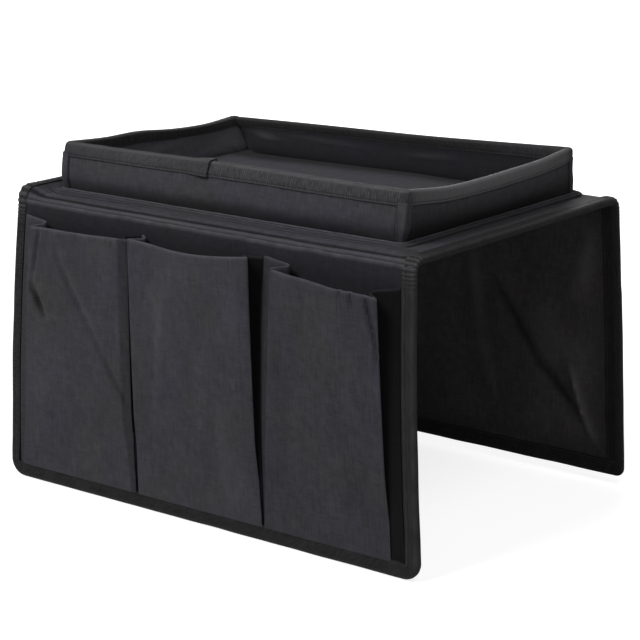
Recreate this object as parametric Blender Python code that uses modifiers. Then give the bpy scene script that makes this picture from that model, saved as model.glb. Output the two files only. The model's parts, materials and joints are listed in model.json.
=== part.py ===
"""Sofa armrest organizer: a bound fabric drape that hangs over a sofa's arm, with pockets and a tray.

Metres. X runs along the arm, Y across it from the front flap to the rear flap, and Z is up.
The origin is the middle of the platform's underside, where the arm carries it.
"""
from math import cos, pi, radians, sin

import bmesh
import bpy
from mathutils import Vector

# Overall sizes
PLATFORM_LENGTH = 0.320
PLATFORM_DEPTH = 0.220
FLAP_DROP = 0.190
FLAP_FLARE = 0.009
FLAP_CORNER_RADIUS = 0.010
FOLD_RADIUS = 0.006
FRONT_SPLAY = radians(2)
SHARP_ANGLE = radians(30)

# Sheet goods
FABRIC = 0.0007
BOARD = 0.0016
TAPE = 0.0006
TAPE_WIDTH = 0.010
BOARD_INSET = 0.005
GAP = 0.0003
MERGE = 0.00001

# Tray, and how much of the platform shows round its foot
LEFT_MARGIN = 0.016
RIGHT_MARGIN = 0.026
FRONT_MARGIN = 0.022
REAR_MARGIN = 0.008
TRAY_HEIGHT = 0.032
TRAY_CORNER = 0.005
TRAY_RIM_SPREAD = 0.0015
TRAY_RIM_PINCH = 0.004
TRAY_BOW = 0.006
RIM_TAPE_WIDTH = 0.008
CORNER_TAPE_LEG = 0.004
FLANGE = 0.0012
FLANGE_WIDTH = 0.005

# Flat pockets: a full-width one on the front flap, and one with a middle seam on the rear flap
FLAT_POCKET_BULGE = 0.008
BULGE_RUN = 0.020
MAGAZINE_MOUTH = 0.0075
REAR_POCKET_MOUTH = 0.060
REAR_BAY_COUNT = 2

# Pleated pockets, sewn side by side over the front flap's flat pocket
PLEATED_MOUTH = 0.016
MOUTH_SAG = 0.003
PLEAT_DEPTH = 0.009
PLEAT_RETURN = 0.009
SEAM_EDGE = 0.0015
PANEL_BELLY = 0.0015
PLEATED_POCKETS = ("left", "middle", "right")

# Shares of a pocket's bay by which its panel's two upper corners and two lower corners are drawn in,
# and shares of the pleat depth by which the two upper corners stand off
MOUTH_INSET_SHARES = {"left": (0.11, 0.03), "middle": (0.01, 0.03), "right": (0.08, 0.08)}
FOOT_INSET_SHARES = {"left": (0.0, 0.0), "middle": (0.0, 0.0), "right": (0.0, 0.06)}
CORNER_DEPTH_SHARES = {"left": (0.45, 0.95), "middle": (0.45, 1.0), "right": (0.6, 0.8)}
BULGE_EASE = 0.5
PLEAT_EASE = 0.8

# Share of the tape's width by which a flat pocket's foot stops short of the flap's edge
HEM_SHARE = 0.25

# Counts
ARC_STEPS = 4
WALL_STEPS = 8
WALL_ROWS = 4
POCKET_STEPS = 8
PLEAT_STEPS = 6

# Sizes that follow
STACK = 2 * FABRIC + BOARD + 2 * GAP
MIDDLE = STACK / 2
HALF_LENGTH = PLATFORM_LENGTH / 2
HINGE_Y = PLATFORM_DEPTH / 2
TAPE_STANDOFF = GAP + TAPE / 2
LINING_INSET = TAPE_WIDTH - TAPE_STANDOFF + GAP
FLAT_PANEL_OUT = MIDDLE + GAP + FABRIC / 2
TRAY_FOOT = STACK + GAP
TRAY_LENGTH = PLATFORM_LENGTH - LEFT_MARGIN - RIGHT_MARGIN
TRAY_DEPTH = PLATFORM_DEPTH - FRONT_MARGIN - REAR_MARGIN
TRAY_SHIFT_X = (LEFT_MARGIN - RIGHT_MARGIN) / 2
TRAY_SHIFT_Y = (FRONT_MARGIN - REAR_MARGIN) / 2
RIM_TAPE_FOOT = 1 - RIM_TAPE_WIDTH / TRAY_HEIGHT
POCKET_FOOT = FLAP_DROP - TAPE_WIDTH - GAP

FINISHES = {
    "cover": ((0.043, 0.042, 0.050, 1.0), 0.85),
    "lining": ((0.020, 0.018, 0.019, 1.0), 0.90),
    "tape": ((0.030, 0.030, 0.032, 1.0), 0.75),
    "board": ((0.330, 0.260, 0.180, 1.0), 0.80),
}


def clear_scene():
    for item in list(bpy.data.objects):
        bpy.data.objects.remove(item, do_unlink=True)


def make_material(name, finish):
    colour, roughness = FINISHES[finish]
    material = bpy.data.materials.new(name)
    material.use_nodes = True
    shader = material.node_tree.nodes["Principled BSDF"]
    shader.inputs["Base Color"].default_value = colour
    shader.inputs["Roughness"].default_value = roughness
    shader.inputs["Metallic"].default_value = 0.0
    material.diffuse_color = colour
    return material


def add_object(name, data, finish, parent=None):
    item = bpy.data.objects.new(name, data)
    item.data.materials.append(make_material(name, finish))
    item.parent = parent
    parts.objects.link(item)
    return item


def slab(name, low, high, finish):
    """A flat rectangular panel between two opposite corners."""
    low, high = Vector(low), Vector(high)
    mesh = bpy.data.meshes.new(name)
    block = bmesh.new()
    bmesh.ops.create_cube(block, size=1)
    bmesh.ops.scale(block, vec=high - low, verts=block.verts)
    bmesh.ops.translate(block, vec=(low + high) / 2, verts=block.verts)
    block.to_mesh(mesh)
    block.free()
    return add_object(name, mesh, finish)


def sheet(name, columns, rows, point, thickness, finish, parent=None, closed=False):
    """A surface shaped by point(column, row) and thickened evenly about itself."""
    mesh = bpy.data.meshes.new(name)
    grid = bmesh.new()
    bmesh.ops.create_grid(grid, x_segments=columns, y_segments=rows, size=1)
    for vertex in grid.verts:
        column = round((vertex.co.x + 1) / 2 * columns)
        row = round((vertex.co.y + 1) / 2 * rows)
        vertex.co = point(column, row)
    if closed:
        bmesh.ops.remove_doubles(grid, verts=grid.verts, dist=MERGE)
    grid.to_mesh(mesh)
    grid.free()
    mesh.shade_smooth()
    mesh.set_sharp_from_angle(angle=SHARP_ANGLE)
    item = add_object(name, mesh, finish, parent)
    solid = item.modifiers.new("Thickness", "SOLIDIFY")
    solid.thickness = thickness
    solid.offset = 0
    solid.use_even_offset = True
    return item


def smooth_step(value):
    value = min(max(value, 0), 1)
    return value * value * (3 - 2 * value)


# Flaps are drawn in their own frame: x along the hinge, out away from the arm, down from the hinge axis

def flap_half_width(down):
    return HALF_LENGTH + FLAP_FLARE * down / FLAP_DROP


def flap_edge(inset):
    """The flap's bound edge, from the top left corner round the bottom to the top right, as (x, down)."""
    radius = max(FLAP_CORNER_RADIUS - inset, GAP)
    foot = FLAP_DROP - inset
    corner_x = flap_half_width(FLAP_DROP) - inset - radius
    right = [(flap_half_width(FOLD_RADIUS) - inset, FOLD_RADIUS)]
    for step in range(ARC_STEPS + 1):
        angle = pi / 2 * step / ARC_STEPS
        right.append((corner_x + radius * cos(angle), foot - radius + radius * sin(angle)))
    left = [(-x, down) for x, down in right]
    return left + right[::-1]


def flap_plate(name, inset, out, thickness, finish, side, parent):
    """A flat panel of the flap's outline, drawn in as far as inset."""
    curve = bpy.data.curves.new(name, "CURVE")
    curve.dimensions = "2D"
    curve.fill_mode = "BOTH"
    curve.extrude = thickness / 2
    outline = flap_edge(inset)
    spline = curve.splines.new("POLY")
    spline.points.add(len(outline) - 1)
    for spline_point, (x, down) in zip(spline.points, outline):
        spline_point.co = (x, -down, 0, 1)
    spline.use_cyclic_u = True
    item = add_object(name, curve, finish, parent)
    item.rotation_euler.x = pi / 2
    item.location.y = side * out
    return item


def flap_binding(name, side, parent):
    """The tape folded round a flap's two ends and its lower edge, flush with the lining inside."""
    inner_out = -(MIDDLE - TAPE / 2)
    outer_out = FLAT_PANEL_OUT + FABRIC / 2 + TAPE_STANDOFF
    tip = flap_edge(TAPE_WIDTH - TAPE_STANDOFF)
    edge = flap_edge(-TAPE_STANDOFF)
    section = ((tip, inner_out), (edge, inner_out), (edge, outer_out), (tip, outer_out))

    def point(column, row):
        line, out = section[row]
        x, down = line[column]
        return Vector((x, side * out, -down))

    return sheet(name, len(edge) - 1, len(section) - 1, point, TAPE, "tape", parent)


def inner_half_width(down):
    """From the middle of a flap to its end tape's inner edge."""
    return flap_half_width(down) - TAPE_WIDTH - GAP


def flat_bulge(x, down, mouth, bays):
    """How far a flat pocket's panel stands off the flap between its seams."""
    half = inner_half_width(down)
    bay = 2 * half / bays
    from_seam = min(abs(x + half - bay * seam) for seam in range(bays + 1))
    if abs(x) >= half:
        from_seam = 0
    height_share = min(max((POCKET_FOOT - down) / (POCKET_FOOT - mouth), 0), 1)
    return FLAT_POCKET_BULGE * height_share ** BULGE_EASE * smooth_step(from_seam / BULGE_RUN)


def flap_limit(down):
    """Half the flap's width at a height, its rounded lower corners included."""
    corner_down = FLAP_DROP - FLAP_CORNER_RADIUS
    if down <= corner_down:
        return flap_half_width(down)
    reach = (FLAP_CORNER_RADIUS ** 2 - (down - corner_down) ** 2) ** 0.5
    return flap_half_width(FLAP_DROP) - FLAP_CORNER_RADIUS + reach


def flat_pocket(name, mouth, bays, side, parent):
    """A panel sewn to a flap at its ends, its foot and between its bays, and open at the top."""
    bay_steps = 2 * ARC_STEPS
    columns = bays * bay_steps + 2
    rows = POCKET_STEPS
    hem_down = FLAP_DROP - TAPE_WIDTH * HEM_SHARE

    def point(column, row):
        down = hem_down if row == 0 else POCKET_FOOT + (mouth - POCKET_FOOT) * (row - 1) / (rows - 1)
        half = inner_half_width(down)
        if column in (0, columns):
            x = (flap_limit(down) - GAP) * (1 if column else -1)
            return Vector((x, side * FLAT_PANEL_OUT, -down))
        bay, step = divmod(column - 1, bay_steps)
        share = (1 - cos(pi * step / bay_steps)) / 2
        x = -half + 2 * half / bays * (bay + share)
        return Vector((x, side * (FLAT_PANEL_OUT + flat_bulge(x, down, mouth, bays)), -down))

    return sheet(name, columns, rows, point, FABRIC, "cover", parent)


def make_flap(label, side, splay):
    """One flap on its hinge axis: lining, board, cover and the tape round them."""
    hinge = bpy.data.objects.new(label + "_flap_hinge", None)
    hinge.location = (0, side * HINGE_Y, MIDDLE)
    hinge.rotation_euler.x = side * splay
    parts.objects.link(hinge)
    name = label + "_flap"
    flap_plate(name + "_lining", LINING_INSET, -(MIDDLE - FABRIC / 2), FABRIC, "lining", side, hinge)
    flap_plate(name + "_board", BOARD_INSET, 0, BOARD, "board", side, hinge)
    flap_plate(name + "_cover", 0, MIDDLE - FABRIC / 2, FABRIC, "cover", side, hinge)
    flap_binding(name + "_binding", side, hinge)
    return hinge


# Pleated pockets

class PleatedPocket:
    """The places of one pleated pocket's panel and pleats on the front flap."""

    def __init__(self, label):
        self.label = label
        self.bay = PLEATED_POCKETS.index(label)

    def seam_x(self, end, down):
        """The seam at the pocket's left (0) or right (1) end."""
        half = inner_half_width(down)
        seam = -half + 2 * half * (self.bay + end) / len(PLEATED_POCKETS)
        return seam + (SEAM_EDGE if end == 0 else -SEAM_EDGE)

    def edge_x(self, end, down):
        """The panel's own left or right edge."""
        share = (POCKET_FOOT - down) / (POCKET_FOOT - PLEATED_MOUTH)
        bay_width = 2 * inner_half_width(down) / len(PLEATED_POCKETS)
        foot = FOOT_INSET_SHARES[self.label][end]
        mouth = MOUTH_INSET_SHARES[self.label][end]
        inset = bay_width * (foot + (mouth - foot) * share)
        return self.seam_x(end, down) + (inset if end == 0 else -inset)

    def tip_x(self, end, down):
        """The pleat's inner fold."""
        return self.edge_x(end, down) + (PLEAT_RETURN if end == 0 else -PLEAT_RETURN)

    def base_out(self, x, down):
        """The outer face of the flat pocket behind."""
        return FLAT_PANEL_OUT + FABRIC / 2 + flat_bulge(x, down, MAGAZINE_MOUTH, 1)

    def corner_out(self, end, down):
        share = max((POCKET_FOOT - down) / (POCKET_FOOT - PLEATED_MOUTH), 0)
        depth = PLEAT_DEPTH * CORNER_DEPTH_SHARES[self.label][end] * share ** PLEAT_EASE
        edge = self.edge_x(end, down)
        base = max(self.base_out(edge, down), self.base_out(self.tip_x(end, down), down))
        return base + GAP + FABRIC / 2 + depth

    def pleat_foot(self, end):
        """The height share below which the pleat's two layers lie pressed together."""
        pressed = (2 * FABRIC + 3 * GAP) / (PLEAT_DEPTH * CORNER_DEPTH_SHARES[self.label][end])
        return min(pressed ** (1 / PLEAT_EASE), 1)

    def panel_point(self, across, up):
        """A point of the panel's middle: across from left (0) to right (1), up from foot to mouth."""
        middle = 1 - (2 * across - 1) ** 2
        mouth = PLEATED_MOUTH + MOUTH_SAG * middle
        down = POCKET_FOOT + (mouth - POCKET_FOOT) * up
        left, right = self.edge_x(0, down), self.edge_x(1, down)
        out_left, out_right = self.corner_out(0, down), self.corner_out(1, down)
        x = left + (right - left) * across
        out = out_left + (out_right - out_left) * across + PANEL_BELLY * middle * up
        return Vector((x, -out, -down))

    def pleat_point(self, end, fold, up):
        """The pleat runs from the seam (fold 0) inwards to its tip (1) and out to the panel's edge (2)."""
        foot = self.pleat_foot(end)
        up = foot + (1 - foot) * up
        down = POCKET_FOOT + (PLEATED_MOUTH - POCKET_FOOT) * up
        x_seam, x_tip, x_edge = self.seam_x(end, down), self.tip_x(end, down), self.edge_x(end, down)
        out_seam = self.base_out(x_seam, down) + GAP + FABRIC
        out_edge = self.corner_out(end, down) - FABRIC - GAP
        out_tip = (self.base_out(x_tip, down) + self.panel_out(x_tip, down)) / 2
        x = (x_seam, x_tip, x_edge)[fold]
        out = (out_seam, out_tip, out_edge)[fold]
        return Vector((x, -out, -down))

    def panel_out(self, x, down):
        """The panel's inner face at x, on the straight line between its edges."""
        left, right = self.edge_x(0, down), self.edge_x(1, down)
        share = (x - left) / (right - left)
        out_left, out_right = self.corner_out(0, down), self.corner_out(1, down)
        return out_left + (out_right - out_left) * share - FABRIC / 2


def make_pleated_pocket(label, hinge):
    pocket = PleatedPocket(label)
    foot = bpy.data.objects.new(label + "_pocket_hinge", None)
    foot.location = (0, -pocket.corner_out(0, POCKET_FOOT), -POCKET_FOOT)
    foot.parent = hinge
    parts.objects.link(foot)

    def panel(column, row):
        return pocket.panel_point(column / POCKET_STEPS, row / POCKET_STEPS) - foot.location

    sheet(label + "_pocket_panel", POCKET_STEPS, POCKET_STEPS, panel, FABRIC, "cover", foot)
    for end, end_name in enumerate(("left", "right")):
        def pleat(column, row, end=end):
            return pocket.pleat_point(end, column, row / PLEAT_STEPS)

        sheet(label + "_pocket_" + end_name + "_pleat", 2, PLEAT_STEPS, pleat, FABRIC, "cover", hinge)


# Platform and the folds where the flaps begin

def make_platform():
    end_y = HINGE_Y - FOLD_RADIUS
    low, high = -HALF_LENGTH, HALF_LENGTH
    slab("platform_lining", (low + LINING_INSET, -end_y, 0), (high - LINING_INSET, end_y, FABRIC), "lining")
    slab("platform_board", (low + BOARD_INSET, -end_y, FABRIC + GAP),
         (high - BOARD_INSET, end_y, FABRIC + GAP + BOARD), "board")
    slab("platform_cover", (low, -end_y, STACK - FABRIC), (high, end_y, STACK), "cover")
    for end, end_name in ((-1, "left"), (1, "right")):
        def tape(column, row, end=end):
            across, height = tape_section()[row]
            return Vector((end * across, end_y * (2 * column - 1), height))

        sheet("platform_" + end_name + "_binding", 1, 3, tape, TAPE, "tape")


def tape_section():
    """The end tape's middle line as (x, z), round the edge to its lower leg, flush with the lining."""
    tip = HALF_LENGTH - TAPE_WIDTH + TAPE_STANDOFF
    edge = HALF_LENGTH + TAPE_STANDOFF
    upper, lower = STACK + TAPE_STANDOFF, TAPE / 2
    return ((tip, upper), (edge, upper), (edge, lower), (tip, lower))


def fold_point(side, x, radius, share):
    """A point of the quarter bend from the platform (share 0) down to a flap (share 1)."""
    start = GAP / radius
    angle = start + (pi / 2 - 2 * start) * share
    centre_y, centre_z = HINGE_Y - FOLD_RADIUS, MIDDLE - FOLD_RADIUS
    return Vector((x, side * (centre_y + radius * sin(angle)), centre_z + radius * cos(angle)))


def make_fold(label, side):
    """The flexible strips of cover, lining and end tape that bend between the platform and a flap."""
    skin_out = MIDDLE - FABRIC / 2
    layers = (("cover", HALF_LENGTH, skin_out), ("lining", HALF_LENGTH - LINING_INSET, -skin_out))
    for layer, half, out in layers:
        def strip(column, row, half=half, out=out):
            return fold_point(side, half * (2 * column - 1), FOLD_RADIUS + out, row / ARC_STEPS)

        sheet(label + "_fold_" + layer, 1, ARC_STEPS, strip, FABRIC, layer)
    for end, end_name in ((-1, "left"), (1, "right")):
        def tape(column, row, end=end):
            across, height = tape_section()[column]
            return fold_point(side, end * across, FOLD_RADIUS + height - MIDDLE, row / ARC_STEPS)

        sheet(label + "_fold_" + end_name + "_binding", 3, ARC_STEPS, tape, TAPE, "tape")


# Tray

def tray_half_x(up):
    return TRAY_LENGTH / 2 + TRAY_RIM_SPREAD * up


def tray_half_y(up):
    return TRAY_DEPTH / 2 - TRAY_RIM_PINCH * up


def tray_bow(y, up):
    """How far the two end walls stand out between their corners, full from the rim tape's lower edge up."""
    straight = tray_half_y(up) - TRAY_CORNER
    rise = min(up / RIM_TAPE_FOOT, 1)
    return TRAY_BOW * rise * max(1 - (y / straight) ** 2, 0)


def wall_up(row):
    """The height share of a wall's row: even steps up to the rim tape, then the wall's top."""
    return 1 if row == WALL_ROWS else RIM_TAPE_FOOT * row / (WALL_ROWS - 1)


def tray_place(x, y, z):
    return Vector((TRAY_SHIFT_X + x, TRAY_SHIFT_Y + y, z))


def tray_height(up):
    return TRAY_FOOT + TRAY_HEIGHT * up


def tray_outline(outset, up):
    """The tray's outline at a height, as far as outset outside its walls, counter-clockwise."""
    half_x, half_y = tray_half_x(up), tray_half_y(up)
    radius = TRAY_CORNER + outset
    straight_x, straight_y = half_x - TRAY_CORNER, half_y - TRAY_CORNER
    corners = ((1, 1, 0), (-1, 1, 1), (-1, -1, 2), (1, -1, 3))
    outline = []
    for sign_x, sign_y, quarter in corners:
        for step in range(ARC_STEPS):
            angle = pi / 2 * (quarter + step / (ARC_STEPS - 1))
            x = sign_x * straight_x + radius * cos(angle)
            outline.append((x, sign_y * straight_y + radius * sin(angle)))
        for step in range(1, WALL_STEPS):
            share = 1 - 2 * step / WALL_STEPS
            if quarter % 2 == 0:
                outline.append((sign_x * straight_x * share, sign_y * (half_y + outset)))
            else:
                y = sign_y * straight_y * share
                outline.append((sign_x * (half_x + outset + tray_bow(y, up)), y))
    return outline


def tray_ring(name, section, thickness, finish):
    """A closed strip round the tray; each section point is (outset, height share)."""
    lines = [(tray_outline(outset, up), tray_height(up)) for outset, up in section]
    count = len(lines[0][0])

    def point(column, row):
        line, z = lines[row]
        x, y = line[column % count]
        return tray_place(x, y, z)

    return sheet(name, count, len(section) - 1, point, thickness, finish, closed=True)


def tray_wall(side_name, along_x, sign):
    """One wall: an outer panel, a board and a lining, each following the wall's slope and bow."""
    layers = (("panel", "cover", FABRIC / 2, FABRIC, 0),
              ("board", "board", FABRIC + GAP + BOARD / 2, BOARD, BOARD_INSET / 2),
              ("lining", "lining", STACK - FABRIC / 2, FABRIC, 0))
    for layer, finish, depth, thickness, shorter in layers:
        def point(column, row, depth=depth, shorter=shorter):
            share = 2 * column / WALL_STEPS - 1
            up = wall_up(row)
            if along_x:
                x = share * (tray_half_x(0) - TRAY_CORNER - shorter)
                return tray_place(x, sign * (tray_half_y(up) - depth), tray_height(up))
            y = share * (tray_half_y(up) - TRAY_CORNER - shorter)
            return tray_place(sign * (tray_half_x(up) + tray_bow(y, up) - depth), y, tray_height(up))

        sheet("tray_" + side_name + "_" + layer, WALL_STEPS, WALL_ROWS, point, thickness, finish)


def tray_corner(name, sign_x, sign_y):
    """The tape over an upright corner seam, between the base flange and the rim tape."""
    foot_share = (FLANGE + GAP + TAPE / 2) / TRAY_HEIGHT
    top_share = RIM_TAPE_FOOT - GAP / TRAY_HEIGHT
    radius = TRAY_CORNER + TAPE_STANDOFF
    columns = ARC_STEPS + 2

    def point(column, row):
        up = foot_share + (top_share - foot_share) * row / WALL_ROWS
        straight_x, straight_y = tray_half_x(up) - TRAY_CORNER, tray_half_y(up) - TRAY_CORNER
        if column == 0:
            x, y = straight_x - CORNER_TAPE_LEG, straight_y + radius
        elif column == columns:
            y = straight_y - CORNER_TAPE_LEG
            x = straight_x + radius + tray_bow(y, up)
        else:
            angle = pi / 2 * (1 - (column - 1) / ARC_STEPS)
            x, y = straight_x + radius * cos(angle), straight_y + radius * sin(angle)
        return tray_place(sign_x * x, sign_y * y, tray_height(up))

    return sheet(name, columns, WALL_ROWS, point, TAPE, "tape")


def make_tray():
    floor_x = tray_half_x(0) - STACK - 2 * GAP
    floor_y = tray_half_y(0) - STACK - 2 * GAP
    low = tray_place(-floor_x, -floor_y, TRAY_FOOT)
    slab("tray_floor", low, tray_place(floor_x, floor_y, TRAY_FOOT + FABRIC), "cover")
    tray_wall("front", True, -1)
    tray_wall("rear", True, 1)
    tray_wall("left", False, -1)
    tray_wall("right", False, 1)
    for sign_x, x_name in ((-1, "left"), (1, "right")):
        for sign_y, y_name in ((-1, "front"), (1, "rear")):
            tray_corner("tray_" + y_name + "_" + x_name + "_corner_binding", sign_x, sign_y)
    top_share = 1 + TAPE_STANDOFF / TRAY_HEIGHT
    outside, inside = TAPE_STANDOFF, -(STACK + TAPE_STANDOFF)
    rim = ((outside, RIM_TAPE_FOOT), (outside, top_share), (inside, top_share), (inside, RIM_TAPE_FOOT))
    tray_ring("tray_rim_binding", rim, TAPE, "tape")
    flange_share = FLANGE / 2 / TRAY_HEIGHT
    tray_ring("tray_base_flange", ((GAP, flange_share), (GAP + FLANGE_WIDTH, flange_share)), FLANGE, "cover")


def build():
    make_platform()
    make_tray()
    make_fold("front", -1)
    make_fold("rear", 1)
    front = make_flap("front", -1, FRONT_SPLAY)
    flat_pocket("magazine_pocket", MAGAZINE_MOUTH, 1, -1, front)
    for label in PLEATED_POCKETS:
        make_pleated_pocket(label, front)
    rear = make_flap("rear", 1, 0)
    flat_pocket("rear_pocket", REAR_POCKET_MOUTH, REAR_BAY_COUNT, 1, rear)


clear_scene()
parts = bpy.data.collections.new("sofa_armrest_organizer")
bpy.context.scene.collection.children.link(parts)
build()
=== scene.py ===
"""The looks of a sofa armrest organizer: a bound cloth drape with pleated pockets and a soft tray.

Metres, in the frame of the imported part: X runs along the arm, Y across it from the pleated flap to the
rear flap, and Z is up.

The drape has its own places. Its side is -1 for the front half and 1 for the rear half, x runs along the arm,
s runs over the platform, round the fold and down a flap and is zero where the fold starts, down is how far
below the hinge a place on a flap lies, and out is how far it lies from the middle of the drape's layers.
"""
import json
from functools import lru_cache
from math import cos, exp, hypot, pi, radians, sin

import bpy
import numpy as np
from mathutils import Matrix, Vector, noise


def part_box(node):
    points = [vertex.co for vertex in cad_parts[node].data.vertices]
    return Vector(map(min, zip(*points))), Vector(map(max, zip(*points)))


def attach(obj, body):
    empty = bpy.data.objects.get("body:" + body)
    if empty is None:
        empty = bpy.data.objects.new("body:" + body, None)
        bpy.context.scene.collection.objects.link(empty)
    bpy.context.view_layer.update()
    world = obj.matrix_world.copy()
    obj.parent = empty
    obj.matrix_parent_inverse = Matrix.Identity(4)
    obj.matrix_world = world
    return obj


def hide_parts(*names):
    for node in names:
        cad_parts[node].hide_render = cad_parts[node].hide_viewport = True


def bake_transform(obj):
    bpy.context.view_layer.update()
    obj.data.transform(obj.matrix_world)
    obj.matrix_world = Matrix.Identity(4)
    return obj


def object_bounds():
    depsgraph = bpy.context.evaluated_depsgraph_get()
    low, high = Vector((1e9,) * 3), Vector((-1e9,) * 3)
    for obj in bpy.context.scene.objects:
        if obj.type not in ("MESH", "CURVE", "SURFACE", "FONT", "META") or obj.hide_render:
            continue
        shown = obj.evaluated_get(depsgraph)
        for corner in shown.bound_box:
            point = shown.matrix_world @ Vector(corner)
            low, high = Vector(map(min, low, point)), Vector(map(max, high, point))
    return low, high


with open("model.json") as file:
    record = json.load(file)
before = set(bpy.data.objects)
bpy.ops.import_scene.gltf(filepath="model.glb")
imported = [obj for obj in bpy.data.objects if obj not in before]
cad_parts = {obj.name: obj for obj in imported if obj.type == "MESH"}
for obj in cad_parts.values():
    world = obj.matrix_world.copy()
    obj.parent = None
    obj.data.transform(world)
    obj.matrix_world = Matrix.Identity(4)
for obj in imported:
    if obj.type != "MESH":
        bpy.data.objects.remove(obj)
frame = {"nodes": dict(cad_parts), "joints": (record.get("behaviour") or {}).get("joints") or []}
CAD_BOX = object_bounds()

# Sizes read from the frame
COVER_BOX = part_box("platform_cover")
FLAP_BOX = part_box("rear_flap_cover")
TRAY_LOW, TRAY_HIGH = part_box("tray_floor")
HINGES = {joint["child"]: Vector(joint["pos_m"]) for joint in frame["joints"]}
HALF_LENGTH, FOLD_START, TOP = COVER_BOX[1]
HINGE_Y, MIDDLE = HINGES["rear_flap"].yz
FOLD_RADIUS = HINGE_Y - FOLD_START
FLAP_DROP = MIDDLE - FLAP_BOX[0].z
FLAP_FLARE = FLAP_BOX[1].x - HALF_LENGTH

# Sheet goods, and how far their edges lie inside the drape's edge
FABRIC = 0.0006
BOARD = 0.0016
TAPE = 0.0006
GAP = 0.0003
TOUCH = 0.0001
COVER_OUT = MIDDLE - FABRIC / 2
COVER_INSET = 0.0012
BOARD_INSET = 0.005
POCKET_INSET = 0.0008

# Shape of the drape
BODIES = {-1: "front_flap", 1: "rear_flap"}
SIDE_NAMES = {-1: "front", 1: "rear"}
SPLAYS = {-1: radians(2), 1: 0.0}
FLAP_BOWS = {-1: 0.0026, 1: 0.0010}
FLAP_RISES = {-1: 0.0, 1: 0.0050}
FLAP_CORNERS = {-1: 0.010, 1: 0.004}
SETTLE = 0.012
# The platform's left front end curls up, between a start and a run beyond it along -x, -s and s
CURL_RISE = 0.0048
CURL_ALONG = (0.140, 0.016)
CURL_TO_FOLD = (-0.010, 0.009)
CURL_FROM_MIDDLE = (-0.09, 0.03)
# Soft swells along the front fold, and its sharp creases and ridges, as (place, width, height) over s
FOLD_SWELLS = ((-0.0095, 0.0050, 0.0013),)
FOLD_CREASES = (
    (-0.0090, 0.0008, -0.0004),
    (-0.0060, 0.0008, -0.00045),
    (-0.0025, 0.0007, -0.00035),
    (0.0027, 0.0009, -0.0011),
    (0.0046, 0.0010, 0.0002),
    (0.0066, 0.0008, -0.0005),
)
# Painted shade in the fold's creases and painted highlight on its ridges: how much each darkens or lightens
# the fold for each metre of its height
FOLD_CREASE_PAINTED_LIGHT = 1500.0

# Linings: the height of their wrinkles, the painted highlight on a raised wrinkle and painted shade in a low
# one for each metre of height, and their creases, as (start, end, width, height), in x and down on a flap
LINING_SLACK = 0.0003
LINING_SWELL = 0.0006
UPRIGHT_WRINKLE = 0.0008
SOFT_WRINKLE = 0.0006
LINING_DIP = 0.0002
LINING_LEVEL = 0.0011
LINING_PAINTED_LIGHT = 380.0
LINING_CREASES = {
    -1: (((-0.12, 0.03), (-0.02, 0.12), 0.006, 0.0010), ((0.10, 0.05), (0.04, 0.15), 0.007, 0.0009)),
    1: (((0.048, 0.035), (0.058, 0.120), 0.0045, 0.0016), ((0.058, 0.115), (0.068, 0.150), 0.0045, 0.0012),
        ((0.066, 0.065), (0.106, 0.125), 0.0035, -0.0018), ((0.104, 0.121), (0.139, 0.155), 0.0035, -0.0018),
        ((0.129, 0.120), (0.139, 0.151), 0.0022, 0.0028), ((0.138, 0.149), (0.157, 0.182), 0.0020, 0.0036),
        ((0.151, 0.010), (0.133, 0.068), 0.0070, 0.0018), ((0.110, 0.098), (0.148, 0.126), 0.0120, 0.0010),
        ((-0.10, 0.02), (-0.06, 0.15), 0.008, 0.0014)),
}

# Edge tape: its outer leg is narrower along the ends, and its inner leg wider all round
TAPE_WIDTH = 0.010
SIDE_LEG = 0.0072
INNER_LEG = 0.0102
TAPE_OVERHANG = 0.0009
TAPE_INNER = -(MIDDLE + TAPE / 2 + TOUCH)
TAPE_DRIFT = 0.0003
BEAD_FLATNESS = 0.8
# Rubbing and painted highlight on the tape's bead
BEAD_WEAR_AND_HIGHLIGHT = 0.55
LAYER_STEP = 0.0009
LEG_SHARES = (0.0, 0.05, 0.10, 0.14, 0.18, 0.24, 0.34, 0.46, 0.54, 0.62, 0.74, 0.88)
INNER_SHARES = (0.25, 0.5, 0.75, 0.86, 0.95, 1.0)
SEAM_SHARE = 0.14
SEAM_TOP = 0.001
GATHER_PITCH = 0.0024
GATHER_HEIGHT = 0.00004
FOLD_GATHER_HEIGHT = 0.00034

# Stitching
STITCH_PITCH = 0.0031
STITCH_LENGTH = 0.0023
STITCH_ARCH = ((0.0, -0.00020), (0.12, 0.00006), (0.5, 0.00016), (0.88, 0.00006), (1.0, -0.00020))
THREAD_RADIUS = 0.00018
SHARP_ANGLE = radians(50)

# Flat pockets
MAGAZINE_MOUTH = 0.0030
MAGAZINE_OUT = MIDDLE + GAP + FABRIC / 2
MAGAZINE_BULGE = 0.0014
MAGAZINE_LIP = 0.0002
# Painted shade on the magazine pocket below its mouth
MAGAZINE_PAINTED_SHADE = 0.30
REAR_MOUTH = 0.060
REAR_BULGE = 0.008
BULGE_RUN = 0.020
BULGE_EASE = 0.5
HEM_ROLL = 0.0006
HEM_DEPTH = 0.008
# Rubbing and painted highlight along a pocket's mouth
HEM_WEAR_AND_HIGHLIGHT = 0.40
POCKET_FOOT = FLAP_DROP - TAPE_WIDTH - GAP

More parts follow.
